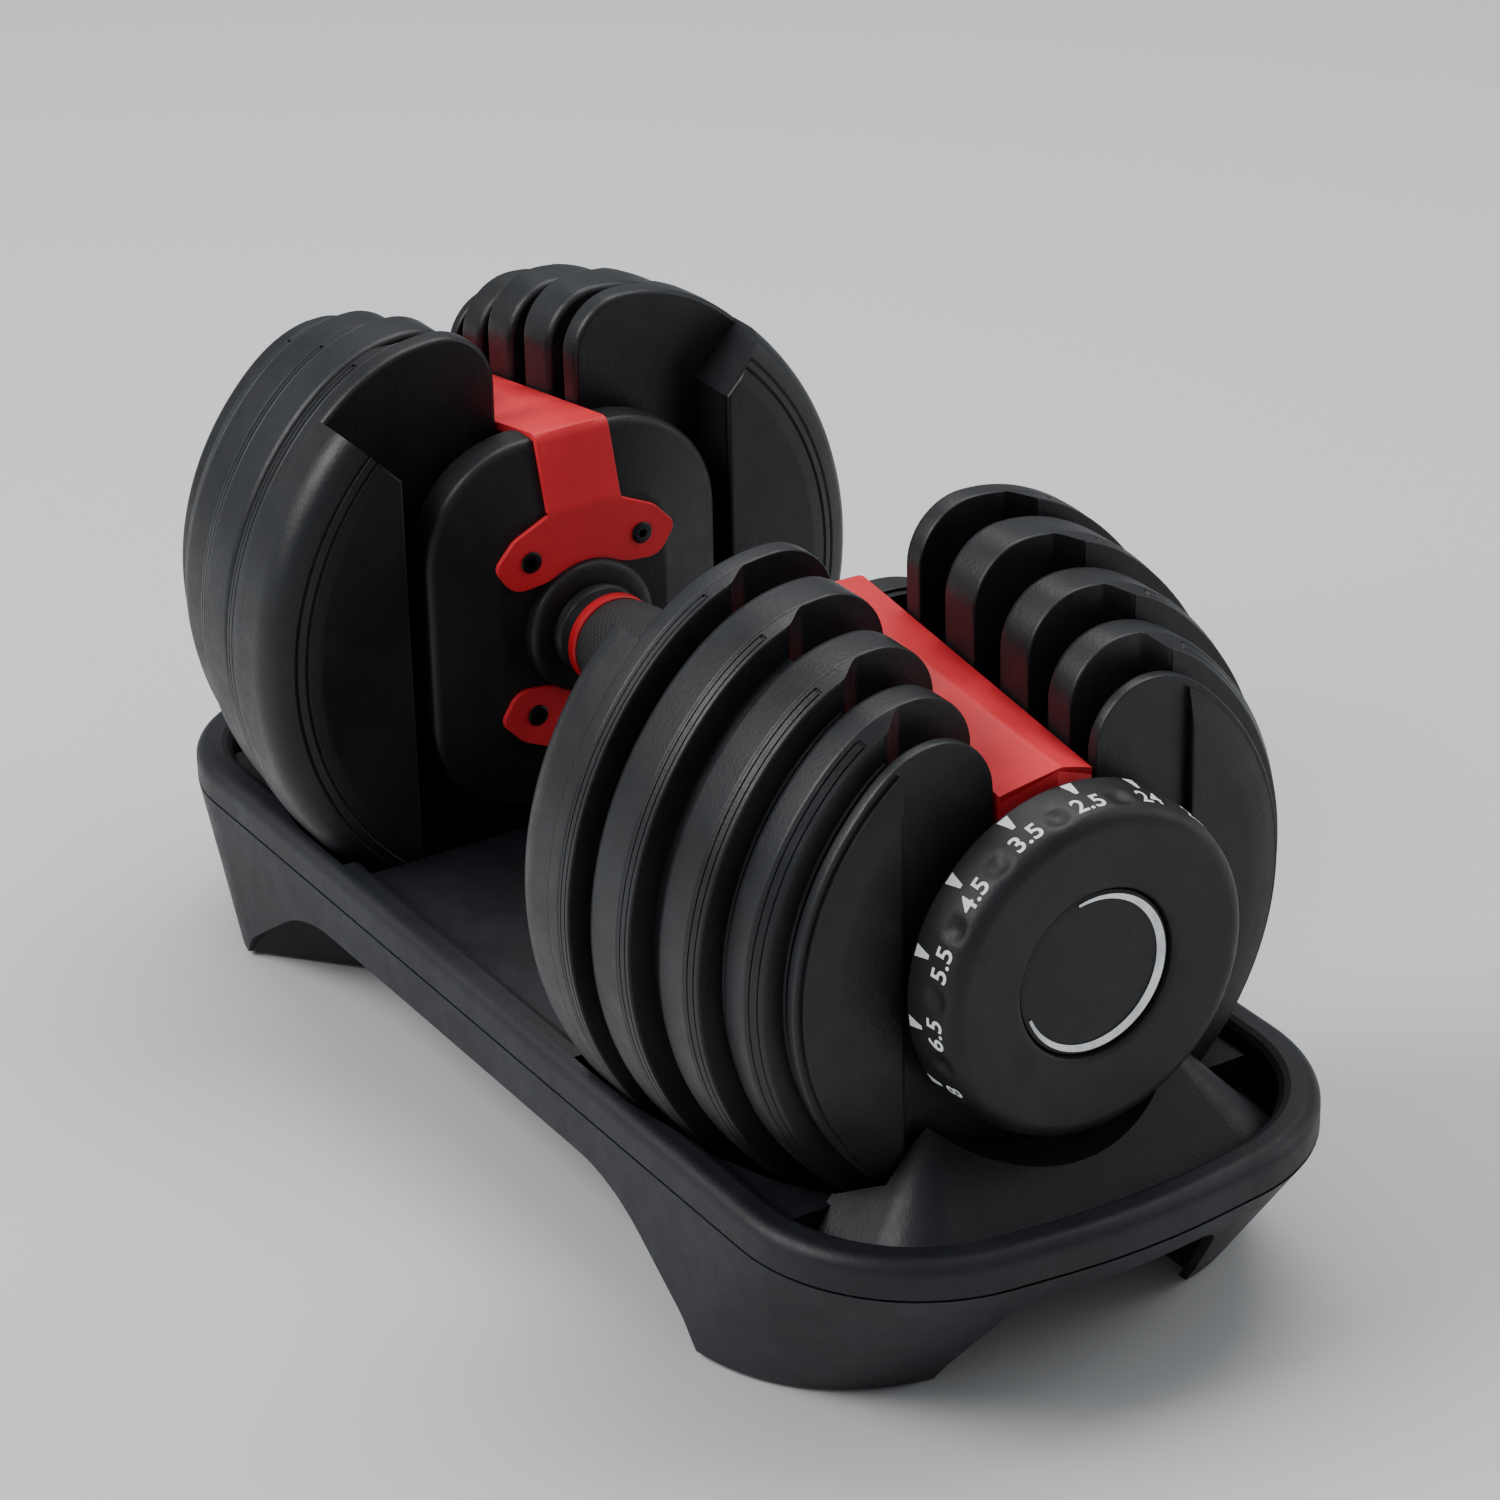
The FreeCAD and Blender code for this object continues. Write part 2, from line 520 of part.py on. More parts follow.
def tray_screw(x, y):
    head = Part.makeCylinder(3.6, 2.0, Vector(x, y, GROUND + 2.5))
    return head.fuse(Part.makeCylinder(2.0, 38.0, Vector(x, y, GROUND + 4.5))).removeSplitter()


def make_tray_top(screws):
    slab = rim_prism(0, SEAM, RIM_TOP)
    crown = [e for e in slab.Edges if all(abs(v.Point.z - RIM_TOP) < 0.01 for v in e.Vertexes)]
    slab = slab.makeFillet(4.5, crown)
    sole = [e for e in slab.Edges if all(abs(v.Point.z - SEAM) < 0.01 for v in e.Vertexes)]
    slab = slab.makeChamfer(SEAM_CHAMFER, sole)
    slab = slab.fuse(skirt_form(SKIRT_WALL + 0.4).common(layer(CHANNEL - 4.0, SEAM)))
    slab = slab.cut(rim_prism(RIM_WIDTH, DECK, RIM_TOP + 5))
    lip = [tray_wire(TRAY_FAR, TRAY_NEAR, TRAY_HALF_Y, RIM_TOP - drop, inset)
           for drop, inset in ((4.2, RIM_WIDTH), (2.0, RIM_WIDTH - 0.9), (0.7, RIM_WIDTH - 2.3),
                               (-0.1, RIM_WIDTH - 4.2))]
    slab = slab.cut(Part.makeLoft(lip, True, True))
    inner = rim_prism(RIM_WIDTH, CHANNEL, DECK + 1)
    slab = slab.cut(inner.common(box(165, 250, -95, 95, -90, -50)))
    slab = slab.cut(inner.common(box(-250, -165, -95, 95, -90, -50)))
    troughs = both_pits(PIT_GAP + PIT_WALL).common(layer(GROUND + 8, SEAM))
    blocks = end_block(BLOCK_FOOT_NEAR).fuse(mirrored(end_block(BLOCK_FOOT_FAR)))
    blocks = blocks.common(rim_prism(8.0, CHANNEL - 4.0, 0))
    blocks = blocks.cut(skirt_form(0).cut(skirt_form(SKIRT_WALL + 0.4)))
    tray = slab.fuse([troughs, blocks])
    saddle = cylinder_x(CRADLE_RADIUS, PLATE_END[4], 250.0)
    tray = tray.cut(both_pits(PIT_GAP)).cut(saddle).cut(mirrored(saddle))
    tray = tray.cut(box(-62.0, 62.0, -78.0, 78.0, CHANNEL - 5.0, DECK - 3.0))
    tray = tray.cut(box(183.0, 192.0, -40.0, 40.0, CHANNEL - 5.0, -CRADLE_RADIUS - 5.0))
    for x in (PIN_X, -PIN_X):
        tray = tray.cut(Part.makeCylinder(4.0, 6.0, Vector(x, 0, -110.0)))
    tray = tray.cut(screws).removeSplitter()
    export("tray_top", max(tray.Solids, key=lambda solid: solid.Volume))
    posts = [Part.makeCylinder(4.0, PIN_TIP - 0.2 + 108.2, Vector(x, 0, -108.2))
             for x in (PIN_X, -PIN_X)]
    export("lock_posts", Part.makeCompound(posts))


def arch_wire(half, height, shoulder, place):
    """Arch opening at the foot of the skirt: flat crown and swept shoulders."""
    low = GROUND - 1.0
    points = [(half, low), (half - 0.12 * shoulder, GROUND + 0.24 * height),
              (half - shoulder, GROUND + height), (-half + shoulder, GROUND + height),
              (-half + 0.12 * shoulder, GROUND + 0.24 * height), (-half, low)]
    radii = [0, 0.5 * shoulder, 1.3 * shoulder, 1.3 * shoulder, 0.5 * shoulder, 0]
    return rounded_wire(points, radii, place)


def corner_region(x_side, x_inner, x_end, inset):
    """Four-sided plan area of one foot, drawn for +y and mirrored for -y."""
    edge = END_ARCH_HALF + 3.0 + inset
    s = 1 if x_end > 0 else -1
    outline = [(x_side + s * inset, 100.0), (x_inner + s * inset, 58.0), (x_inner + s * inset, edge),
               (x_end, edge), (x_end, 100.0)]
    feet = []
    for side in (1, -1):
        points = [Vector(x, side * y, GROUND) for x, y in outline]
        feet.append(Part.Face(Part.makePolygon(points + points[:1])).extrude(Vector(0, 0, 60)))
    return feet[0].fuse(feet[1])


def make_tray_base(screws):
    skirt = skirt_form(0).cut(skirt_form(SKIRT_WALL))
    side = arch_wire(ARCH_HALF, ARCH_HEIGHT, 44.0, lambda u, v: Vector(u + ARCH_SHIFT, -100, v))
    skirt = skirt.cut(Part.Face(side).extrude(Vector(0, 200, 0)))
    end = arch_wire(END_ARCH_HALF, END_ARCH_HEIGHT, 10.0, lambda u, v: Vector(-250, u, v))
    skirt = skirt.cut(Part.Face(end).extrude(Vector(500, 0, 0)))
    foot_x = ARCH_HALF + ARCH_SHIFT
    far_x = ARCH_HALF - ARCH_SHIFT
    right = (foot_x + 12.9, foot_x - 37.0, 250.0)
    left = (-far_x - 12.9, -far_x + 37.0, -250.0)
    floor_top = GROUND + 4.5
    body = [skirt]
    for x_side, x_inner, x_end in (right, left):
        area = corner_region(x_side, x_inner, x_end, 0.0)
        hollow = corner_region(x_side, x_inner, x_end, 2.6)
        body.append(skirt_form(0).common(area).common(layer(GROUND, floor_top)))
        body.append(skirt_form(1.0).common(area.cut(hollow)).common(layer(GROUND, CHANNEL - 4.4)))
    bosses = [Part.makeCylinder(5.0, CHANNEL - 4.0 - floor_top, Vector(x, y, floor_top))
              for x, y in SCREW_SPOTS]
    base = fused(body + bosses).cut(both_pits(PIT_GAP + PIT_WALL + 0.4)).cut(screws)
    base = base.removeSplitter()
    export("tray_base", max(base.Solids, key=lambda solid: solid.Volume))
    pads = [Part.makeCylinder(9.0, PAD_HEIGHT, Vector(x, y, GROUND)) for x, y in PAD_SPOTS]
    export("tray_feet", Part.makeCompound(pads))


def make_tray():
    screws = Part.makeCompound([tray_screw(x, y) for x, y in SCREW_SPOTS])
    make_tray_top(screws)
    make_tray_base(screws)
    export("tray_screws", screws)


os.makedirs("parts", exist_ok=True)
make_plates()
make_grip()
make_housings()
make_brackets()
make_dials()
make_locks()
make_tray()
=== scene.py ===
"""Looks of an adjustable dumbbell in its storage tray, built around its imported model."""

import logging
import math
from dataclasses import dataclass, field
from enum import Enum
from typing import Optional, Sequence

import bmesh
import bpy
from mathutils import Matrix, Vector


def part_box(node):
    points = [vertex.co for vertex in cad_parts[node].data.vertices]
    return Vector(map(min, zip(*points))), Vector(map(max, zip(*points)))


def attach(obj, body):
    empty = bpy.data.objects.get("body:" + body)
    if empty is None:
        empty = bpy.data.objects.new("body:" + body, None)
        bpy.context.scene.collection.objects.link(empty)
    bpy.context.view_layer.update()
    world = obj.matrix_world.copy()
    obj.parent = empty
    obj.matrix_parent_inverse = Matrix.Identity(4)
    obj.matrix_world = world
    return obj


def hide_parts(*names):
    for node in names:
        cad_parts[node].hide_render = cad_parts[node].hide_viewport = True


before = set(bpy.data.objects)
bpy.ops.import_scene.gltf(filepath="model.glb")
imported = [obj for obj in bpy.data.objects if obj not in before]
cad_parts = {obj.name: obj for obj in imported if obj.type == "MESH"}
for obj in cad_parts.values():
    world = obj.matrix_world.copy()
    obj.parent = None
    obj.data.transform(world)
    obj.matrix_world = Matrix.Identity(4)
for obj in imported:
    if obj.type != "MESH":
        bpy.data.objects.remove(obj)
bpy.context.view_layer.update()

log = logging.getLogger("dumbbell")
MM = 0.001
Point = tuple[float, float]
Colour = tuple[float, float, float, float]
Tree, Node, Socket = bpy.types.NodeTree, bpy.types.Node, bpy.types.NodeSocket
Edge = bmesh.types.BMEdge


# ---- colour and shader nodes ------------------------------------------------
EASED = {"interpolation_type": "SMOOTHSTEP"}


def linear(code: str) -> Colour:
    """Turns an sRGB hex colour into linear RGBA.

    Args:
        code: six hex digits, such as "2b2c2e".

    Returns:
        Linear red, green, blue and an alpha of 1.
    """
    values = [int(code[i:i + 2], 16) / 255 for i in (0, 2, 4)]
    lin = [v / 12.92 if v <= 0.04045 else ((v + 0.055) / 1.055) ** 2.4 for v in values]
    return lin[0], lin[1], lin[2], 1.0


def tinted(colour: Colour, red: float, others: Optional[float] = None, lift: float = 0.0) -> Colour:
    """Returns a linear colour with its channels multiplied.

    Args:
        colour: the colour to start from.
        red: the factor of the red channel.
        others: the factor of green and blue, the same as red's if it isn't given.
        lift: what is then added to each channel.

    Returns:
        The new colour, no channel past 1.
    """
    others = red if others is None else others
    r, g, b = (min(1.0, c * f + lift) for c, f in zip(colour, (red, others, others)))
    return r, g, b, 1.0


def per_metre(size_mm: float) -> float:
    """Returns the Scale of a texture whose features are size_mm across."""
    return 1.0 / (size_mm * MM)


def add_node(tree: Tree, kind: str, inputs: Optional[dict] = None, **settings: object) -> Node:
    """Adds one shader node with its inputs and settings.

    Args:
        tree: the material's node tree.
        kind: the node's type name, without "ShaderNode".
        inputs: input name or number to a value, or to the socket or node that feeds it; a
            node feeds it from its first output.
        **settings: attributes of the node.

    Returns:
        The new node.
    """
    node = tree.nodes.new("ShaderNode" + kind)
    for key, value in settings.items():
        setattr(node, key, value)
    for key, value in (inputs or {}).items():
        if isinstance(value, Node):
            value = value.outputs[0]
        if isinstance(value, Socket):
            tree.links.new(value, node.inputs[key])
        else:
            node.inputs[key].default_value = value
    return node


def patches(tree: Tree, cover: Node, low: float, high: float, first: object,
            second: object) -> Socket:
    """Lays patches of one colour over another.

    Args:
        tree: the material's node tree.
        cover: the pattern of the patches.
        low: the cover up to which the first colour is pure.
        high: the cover from which the second colour is pure.
        first: the ground colour.
        second: the colour of the patches.

    Returns:
        The mottled colour.
    """
    share = add_node(tree, "MapRange", {"Value": cover, "From Min": low, "From Max": high}, **EASED)
    return add_node(tree, "Mix", {0: share, 6: first, 7: second}, data_type="RGBA").outputs[2]


def edge_wear(tree: Tree, radius_mm: float, cover: Node, low: float, high: float) -> Node:
    """Finds the worn spots along edges.

    Args:
        tree: the material's node tree.
        radius_mm: how far from an edge the wear reaches.
        cover: the pattern that breaks the wear up.
        low: the cover up to which an edge is unworn.
        high: the cover from which it is fully worn.

    Returns:
        A mask that is 1 on worn edges and 0 elsewhere.
    """
    soft = add_node(tree, "Bevel", {"Radius": radius_mm * MM}, samples=4)
    hard = add_node(tree, "NewGeometry").outputs["Normal"]
    bend = add_node(tree, "VectorMath", {0: soft, 1: hard}, operation="DOT_PRODUCT")
    edge = add_node(tree, "MapRange", {"Value": bend.outputs["Value"], "From Min": 0.995,
                                       "From Max": 0.86}, **EASED)
    rub = add_node(tree, "MapRange", {"Value": cover, "From Min": low, "From Max": high}, **EASED)
    return add_node(tree, "Math", {0: edge, 1: rub}, operation="MULTIPLY")


@dataclass(frozen=True)
class Finish:
    """A material with its name, colour and roughness; each kind adds its own surface."""

    name: str
    colour: str
    roughness: float

    def material(self) -> bpy.types.Material:
        """Makes the material on first use.

        Returns:
            The material.
        """
        found = bpy.data.materials.get(self.name)
        if found:
            return found
        made = bpy.data.materials.new(self.name)
        made.use_nodes = True
        tree = made.node_tree
        tree.nodes.clear()
        place = add_node(tree, "TexCoord").outputs["Object"]
        shader = add_node(tree, "BsdfPrincipled", self.surface(tree, place))
        add_node(tree, "OutputMaterial", {"Surface": shader})
        made.diffuse_color = linear(self.colour)
        return made

    def surface(self, tree: Tree, place: Socket) -> dict:
        """Returns the inputs of the Principled shader."""
        raise NotImplementedError

    def uneven(self, tree: Tree, cover: Node, less: float, more: float,
               high: float = 0.7) -> Node:
        """Varies the roughness.

        Args:
            tree: the material's node tree.
            cover: the pattern of the variation.
            less: how much smoother the surface is where the cover is low.
            more: how much rougher it is where the cover is high.
            high: the cover from which it is roughest.

        Returns:
            The roughness.
        """
        return add_node(tree, "MapRange", {"Value": cover, "From Min": 0.3, "From Max": high,
                                           "To Min": self.roughness - less,
                                           "To Max": self.roughness + more}, **EASED)


@dataclass(frozen=True)
class MouldedPlastic(Finish):
    """Spark-eroded ABS or nylon: a fine pebble grain with worn, slightly shinier edges."""

    grain_mm: float = 1.0
    grain_depth: float = 0.00006
    edge_colour: str = "4a4b4d"
    variation: float = 0.25

    def surface(self, tree: Tree, place: Socket) -> dict:
        """Builds the nodes of the surface.

        Args:
            tree: the material's node tree.
            place: the Object coordinates.

        Returns:
            The inputs of the Principled shader.
        """
        cloud, scuff, dust = (
            add_node(tree, "TexNoise", {"Vector": place, "Scale": per_metre(size),
                                        "Detail": detail, "Roughness": rough})
            for size, detail, rough in ((45.0, 4.0, 0.55), (9.0, 6.0, 0.7),
                                        (self.grain_mm * 0.8, 2.0, 0.6)))
        pebble = add_node(tree, "TexVoronoi", {"Vector": place, "Scale": per_metre(self.grain_mm)},
                          feature="SMOOTH_F1")
        base = linear(self.colour)
        colour = patches(tree, cloud, 0.35, 0.65, tinted(base, 1 - self.variation),
                         tinted(base, 1 + self.variation, lift=0.001))
        worn = edge_wear(tree, 0.7, scuff, 0.35, 0.7)
        pale = add_node(tree, "Math", {0: worn, 1: 0.35}, operation="MULTIPLY")
        colour = add_node(tree, "Mix", {0: pale, 6: colour, 7: linear(self.edge_colour)},
                          data_type="RGBA").outputs[2]
        rough = self.uneven(tree, scuff, 0.05, 0.07, 0.75)
        rough = add_node(tree, "Math", {0: worn, 1: -0.08, 2: rough}, operation="MULTIPLY_ADD")
        height = add_node(tree, "Math", {0: dust, 1: 0.6, 2: pebble}, operation="MULTIPLY_ADD")
        bump = add_node(tree, "Bump", {"Height": height, "Distance": self.grain_depth,
                                       "Strength": 1.0})
        return {"Base Color": colour, "Roughness": rough, "IOR": 1.5,
                "Specular IOR Level": 0.38, "Normal": bump}


@dataclass(frozen=True)
class PowderCoat(Finish):
    """Polyester powder coat on steel: even satin colour over a soft orange peel."""

    def surface(self, tree: Tree, place: Socket) -> dict:
        """Builds the nodes of the surface.

        Args:
            tree: the material's node tree.
            place: the Object coordinates.

        Returns:
            The inputs of the Principled shader.
        """
        peel, cloud, speck = (
            add_node(tree, "TexNoise", {"Vector": place, "Scale": per_metre(size),
                                        "Detail": detail, "Roughness": rough})
            for size, detail, rough in ((1.6, 2.0, 0.5), (30.0, 4.0, 0.6), (3.0, 5.0, 0.7)))
        base = linear(self.colour)
        colour = patches(tree, cloud, 0.3, 0.7, tinted(base, 0.82, 0.75), base)
        chips = add_node(tree, "Math", {0: edge_wear(tree, 0.5, speck, 0.55, 0.7), 1: 0.5},
                         operation="MULTIPLY")
        colour = add_node(tree, "Mix", {0: chips, 6: colour, 7: tinted(base, 1.3, 2.5)},
                          data_type="RGBA").outputs[2]
        bump = add_node(tree, "Bump", {"Height": peel, "Distance": 0.00005, "Strength": 1.0})
        return {"Base Color": colour, "Roughness": self.uneven(tree, cloud, 0.05, 0.07),
                "IOR": 1.5, "Specular IOR Level": 0.3, "Normal": bump}


@dataclass(frozen=True)
class KnurledRubber(Finish):
    """Thermoplastic rubber with a diamond knurl 2.4 mm apart, matt from handling."""

    pitch_mm: float = 2.4
    starts: int = 44

    def surface(self, tree: Tree, place: Socket) -> dict:
        """Builds the nodes of the surface.

        Args:
            tree: the material's node tree.
            place: the Object coordinates.

        Returns:
            The inputs of the Principled shader.
        """
        spot = add_node(tree, "SeparateXYZ", {0: place}).outputs
        up = add_node(tree, "Math", {0: spot["Z"], 1: CENTRE.z}, operation="SUBTRACT")
        angle = add_node(tree, "Math", {0: spot["Y"], 1: up}, operation="ARCTAN2")
        around = add_node(tree, "Math", {0: angle, 1: float(self.starts)}, operation="MULTIPLY")
        waves = []
        for lead in (1, -1):
            turns = lead * 2 * math.pi * per_metre(self.pitch_mm)
            helix = add_node(tree, "Math", {0: spot["X"], 1: turns, 2: around},
                             operation="MULTIPLY_ADD")
            waves.append(add_node(tree, "Math", {0: helix}, operation="SINE"))
        height = add_node(tree, "Math", dict(enumerate(waves)), operation="MINIMUM")
        grime = add_node(tree, "TexNoise", {"Vector": place, "Scale": per_metre(14.0),
                                            "Detail": 4.0, "Roughness": 0.6})
        base = linear(self.colour)
        bump = add_node(tree, "Bump", {"Height": height, "Distance": 0.00016, "Strength": 0.8})
        return {"Base Color": patches(tree, grime, 0.4, 0.7, base, tinted(base, 1.5)),
                "Roughness": self.uneven(tree, grime, 0.08, 0.06), "Normal": bump}


@dataclass(frozen=True)
class TurnedMetal(Finish):
    """Zinc-plated or turned steel: fine tool marks round the handle axis."""

    mark_mm: float = 0.5

    def surface(self, tree: Tree, place: Socket) -> dict:
        """Builds the nodes of the surface.

        Args:
            tree: the material's node tree.
            place: the Object coordinates.

        Returns:
            The inputs of the Principled shader.
        """
        stretched = add_node(tree, "Mapping", {"Vector": place, "Scale": (1.0, 0.06, 0.06)})
        marks = add_node(tree, "TexNoise", {"Vector": stretched, "Scale": per_metre(self.mark_mm),
                                            "Detail": 2.0, "Roughness": 0.5})
        tarnish = add_node(tree, "TexNoise", {"Vector": place, "Scale": per_metre(12.0),
                                              "Detail": 5.0, "Roughness": 0.6})
        base = linear(self.colour)
        bump = add_node(tree, "Bump", {"Height": marks, "Distance": 0.00003, "Strength": 0.7})
        return {"Base Color": patches(tree, tarnish, 0.4, 0.7, base, tinted(base, 0.7)),
                "Roughness": self.uneven(tree, tarnish, 0.06, 0.08), "Metallic": 1.0,
                "Normal": bump}


@dataclass(frozen=True)
class PadPrint(Finish):
    """White pad-printing ink: a thin matt layer that lets a little of the ground through."""

    def surface(self, tree: Tree, place: Socket) -> dict:
        """Builds the nodes of the surface.

        Args:
            tree: the material's node tree.
            place: the Object coordinates.

        Returns:
            The inputs of the Principled shader.
        """
        cover = add_node(tree, "TexNoise", {"Vector": place, "Scale": per_metre(0.9),
                                            "Detail": 3.0, "Roughness": 0.6})
        base = linear(self.colour)
        return {"Base Color": patches(tree, cover, 0.55, 0.75, base, tinted(base, 0.72)),
                "Roughness": self.uneven(tree, cover, 0.05, 0.08)}


# Glass-filled nylon covers of the plates: satin, catching wide soft highlights.
PLATE_NYLON = MouldedPlastic("glass_filled_nylon", "1a1c1f", 0.42, 1.1, 0.00005, "47484a")
# ABS end housings: darker and flatter than the plates.
HOUSING_ABS = MouldedPlastic("moulded_abs_housing", "131518", 0.46, 0.9, 0.00004, "3c3d3f")
# ABS dial, finely spark-eroded so it reads almost matt.
DIAL_ABS = MouldedPlastic("moulded_abs_dial", "16181b", 0.5, 0.8, 0.00005, "3a3b3c")
# Polypropylene tray: blue-black with a coarser leather-like grain.
TRAY_PP = MouldedPlastic("moulded_polypropylene", "181a1f", 0.5, 0.9, 0.00005, "44474c")
# Acetal selector parts, plain and slightly waxy.
ACETAL = MouldedPlastic("moulded_acetal", "26272a", 0.38, 0.8, 0.00002, "505154")
# Steel brackets, powder coated red.
RED_COAT = PowderCoat("red_powder_coat", "e92f3a", 0.52)
# Red ABS rings at the ends of the grip.
RED_ABS = MouldedPlastic("moulded_abs_red", "b51420", 0.4, 0.9, 0.00003, "d8434c", 0.12)
# Rubber of the grip sleeve and the tray's pads.
GRIP_RUBBER = KnurledRubber("knurled_tpr_rubber", "17171a", 0.72)
FOOT_RUBBER = MouldedPlastic("moulded_foot_rubber", "141415", 0.78, 0.8, 0.00004, "2a2a2b")
# Zinc-plated steel of rods, tubes and pins.
ZINC_STEEL = TurnedMetal("zinc_plated_steel", "b4b6b8", 0.32)
# Grey cast cores of the plates.
CAST_CORE = MouldedPlastic("phosphated_cast_iron", "4a4a4c", 0.6, 1.6, 0.0002, "6e6e70")
# Black-oxide socket screws, faintly oily.
BLACK_OXIDE = TurnedMetal("black_oxide_steel", "38393c", 0.36)
# Satin-chromed crescent of the dial's badge.
SATIN_CHROME = TurnedMetal("satin_chrome", "dfe1e3", 0.3, 0.3)
# Ink of the dial's scale.
WHITE_INK = PadPrint("white_pad_print_ink", "eef0f0", 0.6)


class Slot(Enum):
    """Material slots of the pieces made here."""

    PLATE = "plate_plastic"
    HOUSING = "housing_plastic"
    DIAL = "charcoal_plastic"
    RED_METAL = "red_metal"
    RED_PLASTIC = "red_plastic"
    SCREW = "black_screw"
    SILVER = "silver_trim"
    GRIP = "grip_rubber"
    COLLAR = "collar_plastic"


class End(Enum):
    """The two ends of the dumbbell, each with its direction along x."""

    RIGHT = 1
    LEFT = -1

    def __str__(self) -> str:
        """Returns the word that ends the names of this end's pieces."""
        return self.name.lower()


class Lane(Enum):
    """Bands across a plate's stepped rim."""

    PLAIN = "plain"
    LINE = "in one of the two fine lines"
    BETWEEN = "between the lines"


# ---- mesh building ----------------------------------------------------------
def handle_centre() -> Vector:
    """Returns the middle of the tie rod, in metres in the row frame."""
    low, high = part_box("tie_rod")
    return (low + high) / 2


CENTRE = handle_centre()


def arc(cy: float, cz: float, radius: float, start: float, end: float, count: int) -> list[Point]:
    """Points of an arc in the YZ plane, from start to end in degrees, both included."""
    steps = [math.radians(start + (end - start) * i / (count - 1)) for i in range(count)]
    return [(cy + radius * math.cos(a), cz + radius * math.sin(a)) for a in steps]


def rounded(points: Sequence[Point], radii: Sequence[float], steps: int) -> list[Point]:
    """Rounds the corners of a closed outline.

    Args:
        points: the corners, in order.
        radii: one radius for each corner, 0 for a sharp one.
        steps: points along each rounded corner.

    Returns:
        The outline with an arc in place of each rounded corner.
    """
    out: list[Point] = []
    for i, (point, radius) in enumerate(zip(points, radii)):
        here = Vector(point)
        a = (Vector(points[i - 1]) - here).normalized()
        b = (Vector(points[(i + 1) % len(points)]) - here).normalized()
        if radius <= 0:
            out.append(point)
            continue
        half = a.angle(b) / 2
        centre = here + (a + b).normalized() * (radius / math.sin(half))
        first = here + a * (radius / math.tan(half)) - centre
        last = here + b * (radius / math.tan(half)) - centre
        turn = first.angle_signed(last)
        for step in range(steps):
            angle = -turn * step / (steps - 1)
            c, s = math.cos(angle), math.sin(angle)
            out.append((centre.x + first.x * c - first.y * s, centre.y + first.x * s + first.y * c))
    return out


def inset_outline(points: Sequence[Point], amount: float) -> list[Point]:
    """Moves every point of a counter-clockwise outline inwards.

    Args:
        points: the outline.
        amount: how far inwards, in millimetres.

    Returns:
        The smaller outline, point for point.
    """
    out = []
    for i, (y, z) in enumerate(points):
        before, after = Vector(points[i - 1]), Vector(points[(i + 1) % len(points)])
        along = (after - before).normalized()
        out.append((y - along.y * amount, z + along.x * amount))
    return out


@dataclass
class Form:
    """A mesh under construction, in millimetres from the handle's centre.

    The left end is the mirror image of the right one, so both are given as the right one.
    """

    end: End = End.RIGHT
    turn_steps: int = 96
    sharp_from: float = 34.0
    bm: bmesh.types.BMesh = field(default_factory=bmesh.new)

    def at(self, x: float, y: float, z: float) -> Vector:
        """Returns a point in the row frame, in metres."""
        return CENTRE + Vector((x * self.end.value, y, z)) * MM

    def loop(self, points: Sequence[tuple[float, float, float]]) -> list[Edge]:
        """Adds a closed loop of edges through the points."""
        verts = [self.bm.verts.new(self.at(*p)) for p in points]
        return [self.bm.edges.new((verts[i - 1], verts[i])) for i in range(len(verts))]

    def skin(self, loops: Sequence[list[Edge]], ring: bool = False) -> None:
        """Bridges loop after loop.

        Args:
            loops: closed edge loops with the same number of points.
            ring: join the last loop to the first, where both would be filled otherwise.
        """
        for a, b in zip(loops, loops[1:]):
            bmesh.ops.bridge_loops(self.bm, edges=a + b)
        if ring:
            bmesh.ops.bridge_loops(self.bm, edges=loops[-1] + loops[0])
            return
        for ends in (loops[0], loops[-1]):
            bmesh.ops.contextual_create(self.bm, geom=ends)

    def sweep(self, stations: Sequence[tuple[float, Sequence[Point]]]) -> None:
        """Skins YZ outlines placed at successive x."""
        self.skin([self.loop([(x, y, z) for y, z in outline]) for x, outline in stations])

    def turn(self, profile: Sequence[Point], closed: bool = True) -> None:
        """Spins an (x, r) profile about the handle axis.

        Args:
            profile: points of the profile.
            closed: join the profile's last point to its first.
        """
        verts = [self.bm.verts.new(self.at(x, 0.0, r)) for x, r in profile]
        starts = range(len(verts)) if closed else range(1, len(verts))
        edges = [self.bm.edges.new((verts[i - 1], verts[i])) for i in starts]
        bmesh.ops.spin(self.bm, geom=verts + edges, cent=CENTRE, axis=(1, 0, 0),
                       angle=2 * math.pi, steps=self.turn_steps, use_merge=True)

    def tidy(self) -> None:
        """Merges doubled points and turns every normal outwards."""
        bmesh.ops.remove_doubles(self.bm, verts=self.bm.verts[:], dist=1e-6)
        bmesh.ops.recalc_face_normals(self.bm, faces=self.bm.faces[:])

    def finish(self, name: str, finish: Finish, body: str, slot: Slot, *nodes: str) -> None:
        """Makes the object, dresses it and hands it to its body.

        Args:
            name: the piece's name.
            finish: its material.
            body: the CAD body that it rides on.
            slot: not used.
            *nodes: CAD nodes that it stands for.
        """
        self.tidy()
        mesh = bpy.data.meshes.new(name)
        self.bm.to_mesh(mesh)
        self.bm.free()
        mesh.shade_smooth()
        mesh.set_sharp_from_angle(angle=math.radians(self.sharp_from))
        made = bpy.data.objects.new(name, mesh)
        bpy.context.scene.collection.objects.link(made)
        weighted = made.modifiers.new("weighted", "WEIGHTED_NORMAL")
        weighted.keep_sharp = True
        mesh.materials.append(finish.material())
        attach(made, body)
        if nodes:
            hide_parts(*nodes)
        log.info("%s: %d faces, %s", name, len(mesh.polygons), finish.name)


